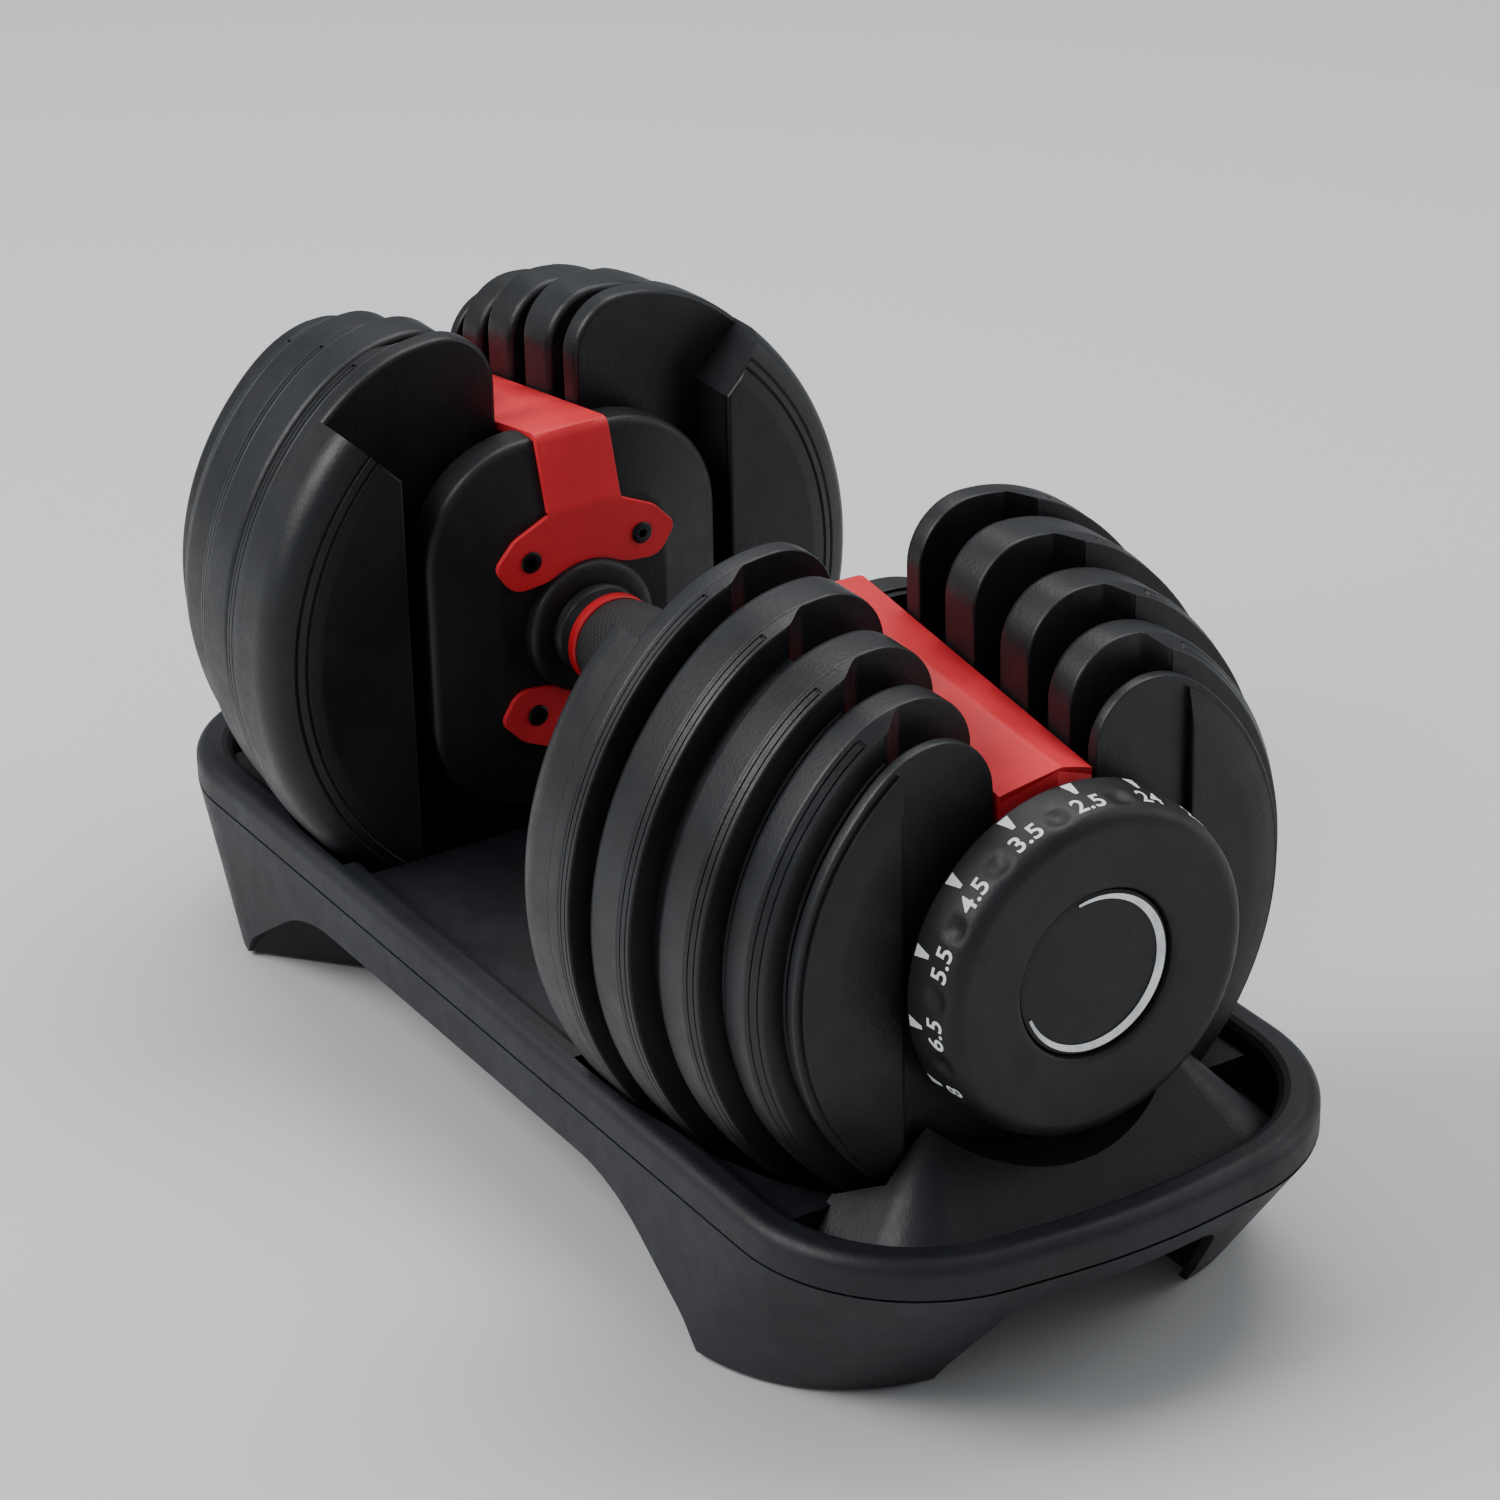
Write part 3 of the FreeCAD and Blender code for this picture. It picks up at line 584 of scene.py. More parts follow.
# ---- weight plates ----------------------------------------------------------
@dataclass
class Plate:
    """The moulded cover of one weight plate: an eared web, side lobes and stepped rims."""

    number: int
    end: End
    rim_start: float
    web_start: float
    band_end: float
    slot_half: float
    lobe_edge: float
    step_depth: float
    ear_drop: float = 12.0
    ear_round: float = 18.0
    step_length: float = 4.5
    undercut: float = 9.0
    groove_depth: float = 0.55
    join: float = 40.0
    radius: float = field(init=False)
    inside: float = field(init=False)
    lobe_end: float = field(init=False)

    def __post_init__(self) -> None:
        """Reads the plate's radius and both ends of it from its CAD node."""
        low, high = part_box(f"plate_{self.number}_cover_{self.end}")
        self.radius = (high.y - low.y) / 2 / MM
        self.inside, self.lobe_end = sorted(
            (x - CENTRE.x) * self.end.value / MM for x in (low.x, high.x))

    def shoulder(self, t: float) -> Point:
        """Follows the curve from the ear's tip to the round rim.

        Args:
            t: 0 at the tip and 1 at the rim.

        Returns:
            The point's y and z.
        """
        turn = math.radians(self.join)
        start = Vector((self.slot_half + self.ear_round, self.radius - self.ear_drop))
        stop = Vector((math.cos(turn), math.sin(turn))) * self.radius
        reach = (stop - start).length * 0.36
        leave = start + Vector((reach, 0))
        arrive = stop + Vector((-math.sin(turn), math.cos(turn))) * reach
        p = (start * (1 - t) ** 3 + leave * 3 * t * (1 - t) ** 2
             + arrive * 3 * t * t * (1 - t) + stop * t ** 3)
        return p.x, p.y

    def shoulder_at(self, y: float) -> Point:
        """Finds the shoulder's point at y by halving.

        Args:
            y: how far the point is from the middle plane.

        Returns:
            The point's y and z.
        """
        low, high = 0.0, 1.0
        for _ in range(30):
            middle = (low + high) / 2
            if self.shoulder(middle)[0] < y:
                low = middle
            else:
                high = middle
        return self.shoulder(low)

    def ear_outline(self) -> list[Point]:
        """Draws the web's outline.

        Returns:
            Its points, counter-clockwise from the floor of the slot.
        """
        tip = self.radius - self.ear_drop
        s, f, r = self.slot_half, self.ear_round, self.radius
        inner = arc(s + f, tip - f, f, 180, 90, 14)
        shoulder = [self.shoulder(i / 18) for i in range(1, 18)]
        side = arc(0, 0, r, self.join, -88.4, 48)
        right = inner + shoulder + side
        floor = arc(0, 0, s, -90, 0, 12)[1:]
        wall = [(s, (tip - f) * i / 6) for i in range(1, 6)]
        half = floor + wall + right
        left = [(-y, z) for y, z in reversed(half)]
        return list(reversed(half + [(0.0, -r)] + left + [(0.0, -s)]))

    def web(self, form: Form) -> None:
        """Adds the web with its ears and the wide first band of the rim.

        Args:
            form: the mesh to add to.
        """
        outline = self.ear_outline()
        first, last = self.web_start, self.band_end
        bevel = min(2.6, (last - first) * 0.3)
        rows = [(first, bevel * 0.75), (first + bevel * 0.12, bevel * 0.38),
                (first + bevel * 0.45, bevel * 0.1), (first + bevel, 0.0), (last - 1.0, 0.0),
                (last - 0.35, 0.12), (last - 0.1, 0.32), (last, 0.65)]
        form.sweep([(x, inset_outline(outline, inset)) for x, inset in rows])

    def lobe_outline(self, side: int, edge: float, inset: float, lane: Lane) -> list[Point]:
        """Returns the web's outline beyond |y| = edge, with the two fine lines of the rim.

        Args:
            side: 1 for +y, -1 for -y.
            edge: where the straight side stands.
            inset: how far the rim lies inside the web's.
            lane: the band of the rim that the outline is in.

        Returns:
            The outline, with as many points whatever the edge.
        """
        r = self.radius
        scale = (r - inset) / r
        cut, wide = edge / scale, r * math.cos(math.radians(self.join))
        stop = self.lobe_edge + 5.5
        lowest = -math.degrees(math.acos(cut / r))
        points = arc(0, 0, r, lowest, self.join, 44)
        across = [wide + (stop + 1.6 - wide) * i / 9 for i in range(1, 10)] + [stop + 1.0]
        line_ends = range(len(points) + len(across), len(points) + len(across) + 2)
        beyond = [stop] + [stop + (cut - stop) * i / 6 for i in range(1, 7)]
        points += [self.shoulder_at(y) for y in (*across, stop + 0.7, stop + 0.3, *beyond)]
        lined = {Lane.LINE: range(line_ends.stop), Lane.BETWEEN: line_ends}.get(lane, ())
        sunk = (r - inset - self.groove_depth) / r
        out = [(y * (sunk if i in lined else scale), z * (sunk if i in lined else scale))
               for i, (y, z) in enumerate(points)]
        top, base = out[-1][1], out[0][1]
        out += [(edge, top + (base - top) * t) for t in (0.25, 0.5, 0.75)]
        return [(side * y, z) for y, z in out]

    def rim_rows(self) -> list[tuple[float, float, float, Lane]]:
        """Lists the rows down the side lobes of a stepped plate.

        Returns:
            x, inset, edge and lane of each row.
        """
        edge, blend, width = self.lobe_edge, 8.0, self.step_length - 0.3
        plain = Lane.PLAIN
        lanes = ((plain, (0.0, 0.05, 0.2, 0.45, 0.75)), (Lane.LINE, (0.85, 1.1)),
                 (Lane.BETWEEN, (1.2, 2.0, 2.75)), (Lane.LINE, (2.85, 3.1)),
                 (plain, (3.2, 3.6, 3.9, 4.1, width)))
        rows = [(self.band_end - 0.8, 0.5, edge - blend, plain)]
        for lane, offsets in lanes:
            for offset in offsets:
                share = offset / width
                swept = 0.5 - math.sin(math.asin(1 - 2 * share) / 3)
                rows.append((self.band_end + offset, 0.15 + (self.step_depth - 0.15) * share,
                             edge - blend + blend * swept, lane))
        step = self.band_end + self.step_length
        rows += [(step - 0.15, self.step_depth + 0.15, edge, plain),
                 (step - 0.05, self.step_depth + 0.5, edge, plain),
                 (step, self.step_depth + 1.0, edge, plain),
                 (step + 0.05, self.undercut, edge, plain),
                 (self.lobe_end - 0.8, self.undercut, edge, plain),
                 (self.lobe_end - 0.2, self.undercut + 0.3, edge + 0.25, plain),
                 (self.lobe_end, self.undercut + 0.9, edge + 0.8, plain)]
        return rows

    def segment(self, side: int, radius: float, edge: float,
                top: Optional[float] = None) -> list[Point]:
        """Returns the outline of a side lobe, cut off at |y| = edge.

        Args:
            side: 1 for +y, -1 for -y.
            radius: the lobe's radius.
            edge: where the straight edge stands.
            top: the height at which that edge turns outwards, if it does.

        Returns:
            The outline, with as many points whatever the radius and the edge.
        """
        low = math.degrees(math.acos(edge / radius))
        high, corner = low, []
        if top is not None:
            slope = 0.8
            start = math.atan2(top, edge)
            while radius * math.cos(start) < edge + slope * (radius * math.sin(start) - top):
                start -= 0.002
            high = math.degrees(start)
            a = (radius * math.cos(start), radius * math.sin(start))
            corner = [(edge + (a[0] - edge) * t, top + (a[1] - top) * t) for t in (0.66, 0.33)]
        points = arc(0, 0, radius, -low, high, 60) + corner
        peak = top if top is not None else radius * math.sin(math.radians(low))
        base = -radius * math.sin(math.radians(low))
        points += [(edge, peak + (base - peak) * t) for t in (0.0 if corner else 0.1, 0.5, 0.9)]
        return [(side * y, z) for y, z in points]

    def lobes(self, form: Form) -> None:
        """Adds the side lobes, which widen the rim, and the undercut behind them.

        Args:
            form: the mesh to add to.
        """
        if self.number < 5:
            for side in (1, -1):
                form.sweep([(x, self.lobe_outline(side, edge, inset, lane))
                            for x, inset, edge, lane in self.rim_rows()])
            return
        r, edge, start = self.radius, self.lobe_edge, self.band_end - 0.8
        step = r - self.step_depth
        rows = [(start, step - 0.4, edge), (start + 1.0, step, edge),
                (self.band_end + 1.2, step, edge), (self.band_end + 1.5, step - 0.9, edge),
                (self.band_end + 1.6, step - 1.6, edge), (self.band_end + 1.9, step - 2.2, edge),
                (self.lobe_end - 0.7, step - 4.4, edge + 0.1),
                (self.lobe_end - 0.35, step - 6.4, edge + 0.3),
                (self.lobe_end - 0.1, step - 8.2, edge + 0.7),
                (self.lobe_end, step - 10.5, edge + 1.4)]
        for side in (1, -1):
            form.sweep([(x, self.segment(side, radius, e)) for x, radius, e in rows])

    def inner_lobes(self, form: Form) -> None:
        """Adds the inner lobes of the innermost plate, which clear the end housing.

        Args:
            form: the mesh to add to.
        """
        r, edge, top, inside = self.radius, 56.5, 58.0, self.inside
        rows = [(inside, r - 17.0, edge + 1.2), (inside + 0.3, r - 15.4, edge + 0.4),
                (inside + 0.9, r - 12.5, edge), (inside + 1.0, r - 12.2, edge),
                (inside + 1.6, r - 12.0, edge), (inside + 1.2, r - 11.0, edge),
                (inside + 1.8, r - 9.2, edge), (inside + 2.4, r - 9.0, edge),
                (inside + 2.1, r - 8.0, edge), (inside + 3.4, r - 4.0, edge),
                (self.rim_start - 2.2, r - 2.0, edge), (self.rim_start + 0.4, r - 0.7, edge),
                (self.rim_start + 3.0, r - 0.1, edge), (self.rim_start + 5.5, r, edge),
                (self.web_start + 2.0, r, edge)]
        for side in (1, -1):
            form.sweep([(x, self.segment(side, radius, e, top)) for x, radius, e in rows])

    def build(self) -> None:
        """Builds the whole cover."""
        form = Form(self.end)
        self.web(form)
        self.lobes(form)
        if self.number == 1:
            self.inner_lobes(form)
        form.finish(f"plate_{self.number}_shell_{self.end}", PLATE_NYLON,
                    f"plates_{self.number}", Slot.PLATE, f"plate_{self.number}_cover_{self.end}")


# ---- handle -----------------------------------------------------------------
@dataclass
class Grip:
    """Knurled sleeve, red rings and collars on the steel grip tube."""

    tube: float = 12.0
    middle: float = 17.4
    neck: float = 14.2

    def build(self) -> None:
        """Builds the sleeve and both rings and collars."""
        low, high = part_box("grip_sleeve")
        half = (high.x - low.x) / 2 / MM
        outer = [(-half, self.tube), (-half, self.neck - 1.0), (-half + 0.4, self.neck - 0.2),
                 (-half + 1.4, self.neck)]
        for i in range(13):
            x = -half + 4 + (half - 4) * i / 6
            swell = 1 - min(1.0, abs(x) / half) ** 3
            outer.append((x, self.neck + (self.middle - self.neck) * swell))
        outer += [(-x, r) for x, r in reversed(outer[:4])]
        form = Form()
        form.turn(outer)
        form.finish("grip_cover", GRIP_RUBBER, "handle", Slot.GRIP, "grip_sleeve")
        rings = [(46.0, 14.2), (46.4, 14.6), (47.0, 14.7), (49.0, 14.7), (49.6, 14.5),
                 (50.0, 14.0)]
        collars = [(50.0, 13.1), (50.5, 13.5), (54.8, 13.6), (55.4, 13.9), (56.0, 14.6),
                   (57.2, 14.8), (57.8, 14.5), (58.0, 14.0)]
        for name, finish, slot, node, profile in (
                ("grip_trim_rings", RED_ABS, Slot.RED_PLASTIC, "grip_rings", rings),
                ("grip_end_collars", HOUSING_ABS, Slot.COLLAR, "grip_collars", collars)):
            form = Form()
            closed = [(profile[0][0], self.tube), *profile, (profile[-1][0], self.tube)]
            for side in (1, -1):
                form.turn([(side * x, r) for x, r in closed])
            form.finish(name, finish, "handle", slot, node)


@dataclass
class Housing:
    """End housing: a rounded box with a bevelled face and a boss for the grip."""

    end: End
    half_y: float = 50.5
    half_z: float = 61.0
    corner: float = 36.0
    face: float = 63.0
    back: float = 79.0

    def outline(self, inset: float) -> list[Point]:
        """Returns the rounded outline, moved inwards by inset."""
        y, z, r = self.half_y - inset, self.half_z - inset, self.corner - inset
        return rounded([(y, z), (-y, z), (-y, -z), (y, -z)], [r] * 4, 20)

    def build(self) -> None:
        """Builds the shell with its boss."""
        form = Form(self.end)
        rows = [(self.face, 22.6), (self.face + 0.3, 21.0), (68.7, 2.6), (69.1, 1.5), (69.7, 0.6),
                (70.6, 0.1), (71.6, 0.0), (self.back - 0.6, 0.0), (self.back - 0.15, 0.2),
                (self.back, 0.7)]
        form.sweep([(x, self.outline(inset)) for x, inset in rows])
        form.turn([(self.face + 1.0, 0.0), (self.face + 1.0, 21.6), (self.face - 2.4, 21.5),
                   (self.face - 3.6, 21.1), (self.face - 4.4, 20.2), (self.face - 4.8, 18.9),
                   (58.02, 17.4), (58.0, 16.0), (58.0, 0.0)])
        form.finish(f"housing_shell_{self.end}", HOUSING_ABS, "handle", Slot.HOUSING,
                    f"housing_{self.end}")


@dataclass
class Bracket:
    """Red steel brackets: the flange on the housing, the bridge above and the hook below."""

    end: End
    face: float = 61.4
    thick: float = 1.6
    half_in: float = 12.7
    half_out: float = 15.0
    screw_y: float = 19.3
    screw_z: float = 25.5

    def flange_outline(self, turn: int) -> list[Point]:
        """Draws the two-eared flange.

        Args:
            turn: 1 for the upper flange and -1 for the lower one.

        Returns:
            Its outline.
        """
        right = [(12.7, 39.5), (12.7, 38.8), (24.5, 33.4), (31.6, 25.6), (25.5, 16.2),
                 (14.0, 17.2), (0.0, 22.6)]
        left = [(-y, z) for y, z in reversed(right[:-1])]
        radii = [0, 0, 8.0, 3.6, 7.0, 12.0, 26.0, 12.0, 7.0, 3.6, 8.0, 0, 0]
        return [(turn * y, turn * z) for y, z in rounded(right + left, radii, 9)]

    def flange(self, form: Form, turn: int) -> None:
        """Adds the flange with softened edges.

        Args:
            form: the mesh to add to.
            turn: 1 for the upper flange and -1 for the lower one.
        """
        outline = self.flange_outline(turn)
        area = sum(a[0] * b[1] - b[0] * a[1] for a, b in zip(outline, outline[1:] + outline[:1]))
        if area < 0:
            outline = outline[::-1]
        rows = [(self.face + self.thick, 0.0), (self.face + 0.5, 0.0), (self.face + 0.14, 0.14),
                (self.face, 0.5)]
        form.sweep([(x, inset_outline(outline, inset)) for x, inset in rows])

    def strip(self, form: Form, path: Sequence[tuple[float, float, float, float, float]],
              turn: int, point: float = 0.0) -> None:
        """Adds a bent, peaked strip.

        Args:
            form: the mesh to add to.
            path: stations of x, z, half-width, ridge height and thickness.
            turn: 1 above the handle axis and -1 below it.
            point: how far the ridge runs past the eaves at the far end.
        """
        loops = []
        for i, (x, z, half, ridge, thick) in enumerate(path):
            before, after = path[max(i - 1, 0)], path[min(i + 1, len(path) - 1)]
            along = Vector((after[0] - before[0], after[1] - before[1])).normalized()
            out = Vector((-along.y, along.x))
            soft = 0.5
            section = [(-half, -thick), (-half, -soft), (-half + 0.15, -0.15), (-half + soft, 0.0),
                       (-half * 0.5, ridge * 0.5), (-1.2, ridge * 0.92), (0.0, ridge * 0.96),
                       (1.2, ridge * 0.92), (half * 0.5, ridge * 0.5), (half - soft, 0.0),
                       (half - 0.15, -0.15), (half, -soft), (half, -thick), (0.0, ridge - thick)]
            push = point if i == len(path) - 1 else 0.0
            loops.append(form.loop([
                (x + out.x * v + push * (max(v, 0.0) / max(ridge, 0.1)), turn * u,
                 turn * (z + out.y * v)) for u, v in section]))
        form.skin(loops)

    def end_wall(self, form: Form) -> None:
        """Closes the bridge's outer end with a wall that follows its pointed plan.

        Args:
            form: the mesh to add to.
        """
        half = self.half_out - 0.2
        plan = [(174.4, -half), (179.8, 0.0), (174.4, half), (171.0, half), (171.0, 0.0),
                (171.0, -half)]
        tops = (44.2, 51.8, 44.2, 44.7, 51.9, 44.7)
        soles = (29.6, 33.1, 29.6, 29.6, 33.1, 29.6)
        form.skin([form.loop([(x, y, z) for (x, y), z in zip(plan, heights)])
                   for heights in (soles, tops)])

    def build(self) -> None:
        """Builds the bridge and the lower bracket."""
        half, thick, start, stop = self.half_in, self.thick, 70.5, 174.6
        rise = [(x, z, half, 0.0, thick)
                for x, z in ((61.4, 38.4), (61.45, 39.4), (61.8, 40.9), (67.1, 59.7))]
        bend = [(67.6, 61.2, half, 0.1, thick), (68.7, 62.4, half, 0.3, 1.8)]
        bar = [(start + (stop - start) * t, 62.8 - 16.3 * t, half + (self.half_out - half) * t,
                0.5 + 6.7 * t, 2.6) for t in (i / 8 for i in range(9))]
        form = Form(self.end)
        self.strip(form, rise + bend + bar, 1, 5.6)
        self.flange(form, 1)
        self.end_wall(form)
        form.finish(f"red_bridge_{self.end}", RED_COAT, "handle", Slot.RED_METAL,
                    f"bridge_{self.end}")
        form = Form(self.end)
        hook = [(x, z, half, 0.0, thick)
                for x, z in ((67.5, 61.2), (68.1, 62.5), (68.7, 63.1), (69.3, 63.2))]
        self.strip(form, rise + hook, -1)
        self.flange(form, -1)
        form.finish(f"red_hook_{self.end}", RED_COAT, "handle", Slot.RED_METAL,
                    f"lower_bracket_{self.end}")


def hexagon(radius: float, per_side: int) -> list[Point]:
    """Draws a hexagon.

    Args:
        radius: how far its corners are from its middle.
        per_side: points along each side.

    Returns:
        Its outline.
    """
    corners = arc(0, 0, radius, 0, 300, 6)
    out = []
    for i, (y, z) in enumerate(corners):
        ny, nz = corners[(i + 1) % 6]
        out += [(y + (ny - y) * t / per_side, z + (nz - z) * t / per_side) for t in range(per_side)]
    return out


@dataclass
class BracketScrews:
    """The eight socket screws of the brackets."""

    socket: float = 1.5
    head: tuple[Point, ...] = ((61.5, 3.4), (60.95, 3.4), (60.75, 3.25), (60.6, 2.9))
    floor: float = 61.4

    def build(self) -> None:
        """Builds the screws as one piece."""
        form = Form()
        bracket = Bracket(End.RIGHT)
        top = self.head[-1][0]
        for side in (end.value for end in End):
            for y in (bracket.screw_y, -bracket.screw_y):
                for z in (bracket.screw_z, -bracket.screw_z):
                    socket = [(y + a, z + b) for a, b in hexagon(self.socket, 4)]
                    rows = [(x, arc(y, z, radius, 0, 345, 24)) for x, radius in self.head]
                    rows += [(top, socket), (self.floor, socket)]
                    form.sweep([(side * x, outline) for x, outline in rows])
        form.finish("bracket_socket_screws", BLACK_OXIDE, "handle", Slot.SCREW, "bracket_screws")


# ---- dials ------------------------------------------------------------------
@dataclass
class Dial:
    """Selector dial: a fluted knob with a printed scale, a cap and a silver crescent."""

    end: End
    labels: tuple[str, ...] = ("2.5", "3.5", "4.5", "5.5", "6.5", "8", "9", "10", "11.5", "13.5",
                               "16", "18", "20.5", "22.5", "24")
    band: tuple[Point, ...] = ((181.2, 47.4), (181.4, 48.3), (182.0, 48.9), (182.8, 49.0),
                               (186.0, 48.95), (189.2, 48.65), (190.2, 48.55), (191.2, 48.42),
                               (192.2, 48.3), (193.2, 48.18), (194.2, 48.05), (195.2, 47.9),
                               (196.2, 47.7), (197.4, 47.2), (198.5, 46.4),
                               (199.3, 45.3), (199.8, 44.0), (200.0, 42.6))
    hollow: float = 24.0
    flute_depth: float = 1.15
    flute_middle: float = 193.2
    flute_reach: float = 3.8
    flute_half: float = 5.2
    flute_points: int = 24
    numeral: float = 5.4
    cap_share: float = 0.7
    boldness: float = 0.12
    spacing: float = 1.04
    numeral_foot: float = 195.7
    wedge: tuple[Point, ...] = ((-0.55, 0.0), (0.55, 0.0), (1.75, 5.4), (-1.75, 5.4))
    wedge_foot: float = 188.2
    ink: float = 0.1

    def body(self) -> str:
        """Returns the CAD body that the dial turns with."""
        return f"dial_{self.end}"

    def flute(self, x: float) -> float:
        """Returns how deep the flutes are at x."""
        return self.flute_depth * max(
            0.0, 1.0 - ((x - self.flute_middle) / self.flute_reach) ** 2)

    def knob(self) -> None:
        """Builds the knob, loop by loop from its back to the cap's recess."""
        form = Form(self.end)
        per = self.flute_points
        count = len(self.labels) * per
        rows = [(181.2, 12.0), (181.2, 30.0), *self.band, (199.75, 38.0), (199.35, 32.0),
                (198.9, 26.5), (198.6, 25.2), (198.1, 24.6), (197.0, 24.3), (194.6, self.hollow)]
        loops = []
        for x, r in rows:
            depth = self.flute(x) if (x, r) in self.band else 0.0
            ring = []
            for i in range(count):
                angle = math.radians(i * 360 / count)
                spread = abs(i % per - per / 2) * 360 / count / self.flute_half
                dip = depth * (1 - spread * spread) ** 2 if spread < 1 else 0.0
                ring.append((x, (r - dip) * -math.sin(angle), (r - dip) * math.cos(angle)))
            loops.append(form.loop(ring))
        form.skin(loops, ring=True)
        form.finish(f"dial_knob_shell_{self.end}", DIAL_ABS, self.body(), Slot.DIAL,
                    f"dial_knob_{self.end}")

    def cap(self) -> None:
        """Builds the slightly domed cap and its crescent."""
        form = Form(self.end)
        profile = [(194.6, 0.0), (194.6, 23.9), (196.6, 23.9), (197.0, 23.6), (197.2, 23.0),
                   (197.25, 20.6), (197.2, 20.2), (197.25, 19.6), (197.3, 10.0), (197.32, 0.0)]
        form.turn(profile, closed=False)
        form.finish(f"dial_badge_{self.end}", DIAL_ABS, self.body(), Slot.DIAL,
                    f"dial_cap_{self.end}")
        form = Form(self.end)
        outer = arc(0, 0, 22.7, -160, 105, 90)
        inner = arc(-1.15, 0.65, 21.0, 105, -160, 90)
        inner[0], inner[-1] = outer[-1], outer[0]
        ring = outer + inner[1:-1]
        form.sweep([(197.1, ring), (197.6, ring)])
        form.finish(f"dial_silver_crescent_{self.end}", SATIN_CHROME, self.body(), Slot.SILVER,
                    f"dial_crescent_{self.end}")

    def surface_radius(self, x: float) -> float:
        """Measures the band.

        Args:
            x: where along the handle axis.

        Returns:
            The band's radius there.
        """
        for (x0, r0), (x1, r1) in zip(self.band, self.band[1:]):
            if x0 <= x <= x1:
                return r0 + (r1 - r0) * (x - x0) / (x1 - x0)
        return self.band[-1][1]

    def wrap(self, bm: bmesh.types.BMesh, index: int, base: float) -> None:
        """Bends a flat print onto the band.

        Args:
            bm: the print, in millimetres, reading along its x with its top at +y.
            index: which setting it marks.
            base: x of the print's baseline on the dial.
        """
        side = self.end.value
        for step in range(-6, 7):
            for cut in (Vector((1, 0, 0)), Vector((0, 1, 0))):
                geom = bm.verts[:] + bm.edges[:] + bm.faces[:]
                bmesh.ops.bisect_plane(bm, geom=geom, plane_co=cut * step, plane_no=cut)
        for vert in bm.verts:
            x = base - vert.co.y
            radius = self.surface_radius(x) + self.ink
            angle = math.radians(index * 360 / len(self.labels)) - vert.co.x / radius
            vert.co = CENTRE + Vector((side * x, -side * radius * math.sin(angle),
                                       radius * math.cos(angle))) * MM

    def glyphs(self, text: str) -> bmesh.types.BMesh:
        """Makes a flat mesh of the text.

        Args:
            text: a numeral of the scale.

        Returns:
            The mesh, centred on x and standing on y = 0.
        """
        curve = bpy.data.curves.new("glyphs", "FONT")
        curve.body, curve.align_x, curve.size = text, "CENTER", self.numeral / self.cap_share
        curve.offset = self.boldness
        curve.space_character = self.spacing
        holder = bpy.data.objects.new("glyphs", curve)
        bpy.context.scene.collection.objects.link(holder)
        mesh = bpy.data.meshes.new_from_object(holder)
        bm = bmesh.new()
        bm.from_mesh(mesh)
        bpy.data.objects.remove(holder)
        bpy.data.curves.remove(curve)
        bpy.data.meshes.remove(mesh)
        return bm

    def scale(self) -> None:
        """Prints the numerals and their wedges."""
        form = Form(self.end)
        for index, label in enumerate(self.labels):
            text = self.glyphs(label)
            self.wrap(text, index, self.numeral_foot)
            wedge = bmesh.new()
            wedge.faces.new([wedge.verts.new((x, y, 0.0)) for x, y in self.wedge])
            self.wrap(wedge, index, self.wedge_foot)
            for part in (text, wedge):
                mesh = bpy.data.meshes.new("print")
                part.to_mesh(mesh)
                part.free()
                form.bm.from_mesh(mesh)
                bpy.data.meshes.remove(mesh)
        form.finish(f"dial_scale_{self.end}", WHITE_INK, self.body(), Slot.SILVER)

    def build(self) -> None:
        """Builds the dial's pieces."""
        self.knob()
        self.cap()
        self.scale()


# ---- CAD nodes that stay in view ---------------------------------------------
KEPT: dict[Finish, tuple[str, ...]] = {
    TRAY_PP: ("tray_top", "tray_base"),
    FOOT_RUBBER: ("tray_feet",),
    BLACK_OXIDE: ("tray_screws",),
    ZINC_STEEL: ("lock_posts", "lock_pins", "lock_springs", "tie_rod", "grip_tube", "end_nuts",
                 "detent_balls", "detent_springs", "selector_tube"),
    HOUSING_ABS: ("housing_cover", "end_bearing"),
    ACETAL: ("selector_discs", "detent_wheel"),
    CAST_CORE: tuple(f"plate_{number}_core" for number in range(1, 6)),
}


def dress_kept_nodes() -> None:
    """Gives each CAD node that stays in view its procedural material."""
    finishes = {stem: finish for finish, stems in KEPT.items() for stem in stems}
    for name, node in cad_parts.items():
        finish = finishes.get(name.removesuffix("_left").removesuffix("_right"))
        if finish and not node.hide_render:
            node.data.materials.clear()
            node.data.materials.append(finish.material())
            log.info("kept %s, %s", name, finish.name)


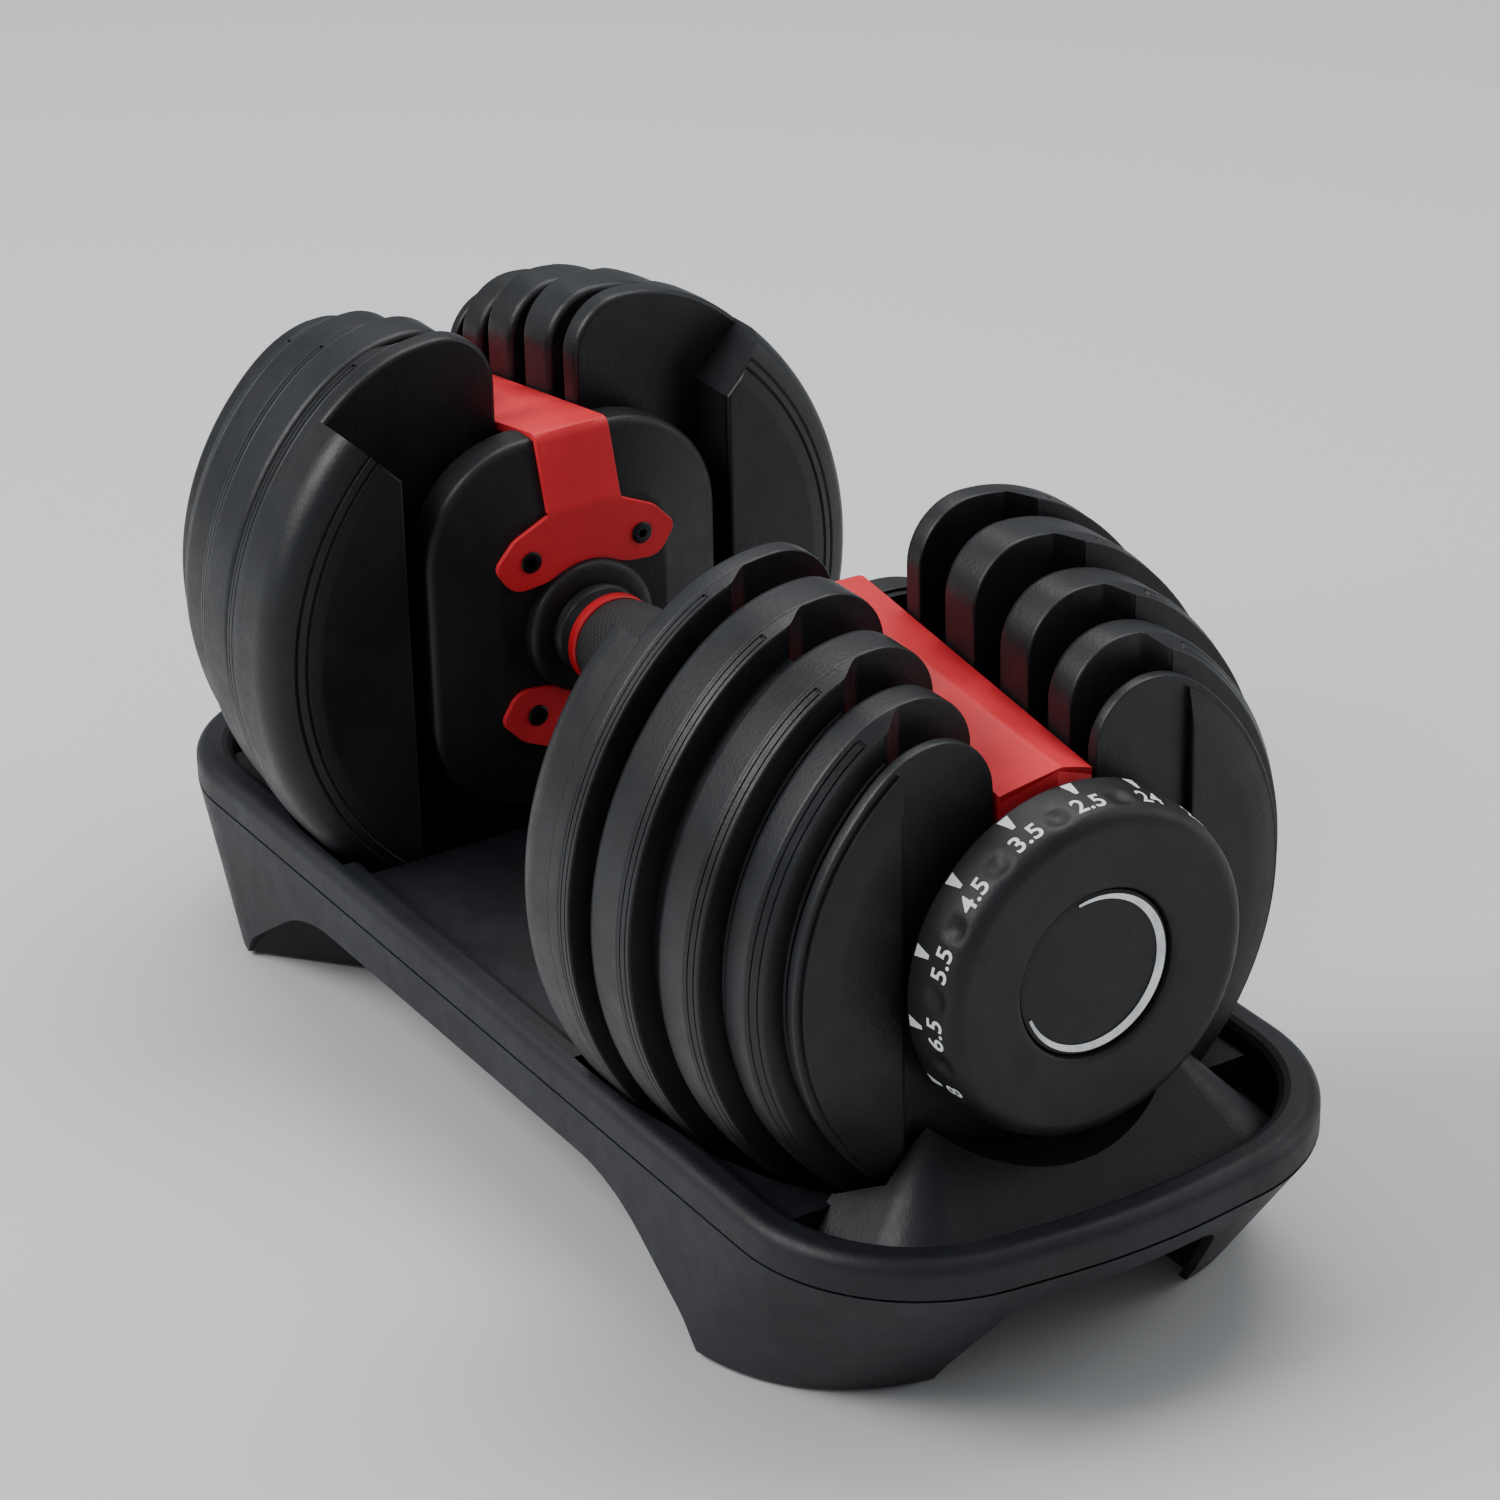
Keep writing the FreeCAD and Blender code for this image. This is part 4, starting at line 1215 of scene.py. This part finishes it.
# ---- studio -----------------------------------------------------------------
@dataclass
class Studio:
    """Pale floor, soft lights and the camera."""

    yaw: float = 58.07
    pitch: float = 26.91
    roll: float = -1.20
    camera_mm: tuple[float, float, float] = (1038.8, -629.2, 598.7)
    lens: float = 110.66
    sensor: float = 36.0
    ambient: float = 0.45
    floor_half: float = 6.0

    def floor(self) -> None:
        """Lays the floor."""
        bm = bmesh.new()
        bmesh.ops.create_grid(bm, x_segments=1, y_segments=1, size=self.floor_half)
        mesh = bpy.data.meshes.new("studio_floor")
        bm.to_mesh(mesh)
        bm.free()
        floor = bpy.data.objects.new("studio_floor", mesh)
        bpy.context.scene.collection.objects.link(floor)
        paper = bpy.data.materials.new("studio_paper")
        paper.use_nodes = True
        shader = paper.node_tree.nodes["Principled BSDF"]
        shader.inputs["Base Color"].default_value = linear("d9dadb")
        shader.inputs["Roughness"].default_value = 0.7
        mesh.materials.append(paper)

    def light(self, name: str, place: tuple[float, float, float], size: tuple[float, float],
              power: float) -> None:
        """Adds a soft area light aimed at the object.

        Args:
            name: the lamp's name.
            place: where it hangs, in metres.
            size: its width and height, in metres.
            power: its power in watts.
        """
        data = bpy.data.lights.new(name, "AREA")
        data.shape, data.size, data.size_y, data.energy = "RECTANGLE", size[0], size[1], power
        lamp = bpy.data.objects.new(name, data)
        aim = Vector((0.0, 0.0, 0.1)) - Vector(place)
        lamp.rotation_euler = aim.to_track_quat("-Z", "Y").to_euler()
        lamp.location = place
        bpy.context.scene.collection.objects.link(lamp)

    def lights(self) -> None:
        """Adds the world's light and three soft boxes."""
        world = bpy.data.worlds.new("studio_world")
        world.use_nodes = True
        sky = world.node_tree.nodes["Background"]
        sky.inputs["Color"].default_value = linear("dfe3e8")
        sky.inputs["Strength"].default_value = self.ambient
        bpy.context.scene.world = world
        self.light("key_softbox", (-0.6, -1.5, 1.5), (1.2, 1.2), 36.0)
        self.light("top_softbox", (-0.5, 0.5, 1.7), (1.6, 1.0), 22.0)
        self.light("rim_softbox", (0.7, 1.6, 0.9), (0.5, 1.4), 7.0)

    def camera(self) -> None:
        """Places the camera for the three-quarter view."""
        yaw, pitch, roll = (math.radians(a) for a in (self.yaw, self.pitch, self.roll))
        back = Vector((math.sin(yaw) * math.cos(pitch), -math.cos(yaw) * math.cos(pitch),
                       math.sin(pitch)))
        level = Vector((math.cos(yaw), math.sin(yaw), 0.0))
        upright = back.cross(level)
        right = level * math.cos(roll) + upright * math.sin(roll)
        up = upright * math.cos(roll) - level * math.sin(roll)
        data = bpy.data.cameras.new("view")
        data.lens, data.sensor_width = self.lens, self.sensor
        camera = bpy.data.objects.new("view", data)
        turn = Matrix((right, up, back)).transposed().to_4x4()
        camera.matrix_world = Matrix.Translation(CENTRE + Vector(self.camera_mm) * MM) @ turn
        bpy.context.scene.collection.objects.link(camera)
        bpy.context.scene.camera = camera

    def build(self) -> None:
        """Sets the whole stage."""
        self.floor()
        self.lights()
        self.camera()


# number, rim start, web start, band end, slot half-width, lobe edge, step depth
PLATE_SIZES = (
    (1, 77.0, 88.6, 96.0, 13.8, 50.0, 0.3),
    (2, 106.0, 106.0, 121.0, 14.4, 48.0, 0.8),
    (3, 131.0, 131.0, 145.0, 15.0, 47.0, 1.5),
    (4, 152.0, 152.0, 163.0, 15.6, 46.0, 2.9),
    (5, 170.0, 170.0, 174.0, 16.2, 46.0, 2.2),
)


def main() -> None:
    """Builds every piece, then dresses what stays and sets the stage."""
    logging.basicConfig(level=logging.INFO, format="%(name)s: %(message)s")
    for end in End:
        for number, *sizes in PLATE_SIZES:
            Plate(number, end, *sizes).build()
        Housing(end).build()
        Bracket(end).build()
        Dial(end).build()
    Grip().build()
    BracketScrews().build()
    dress_kept_nodes()
    Studio().build()


if __name__ == "__main__":
    main()
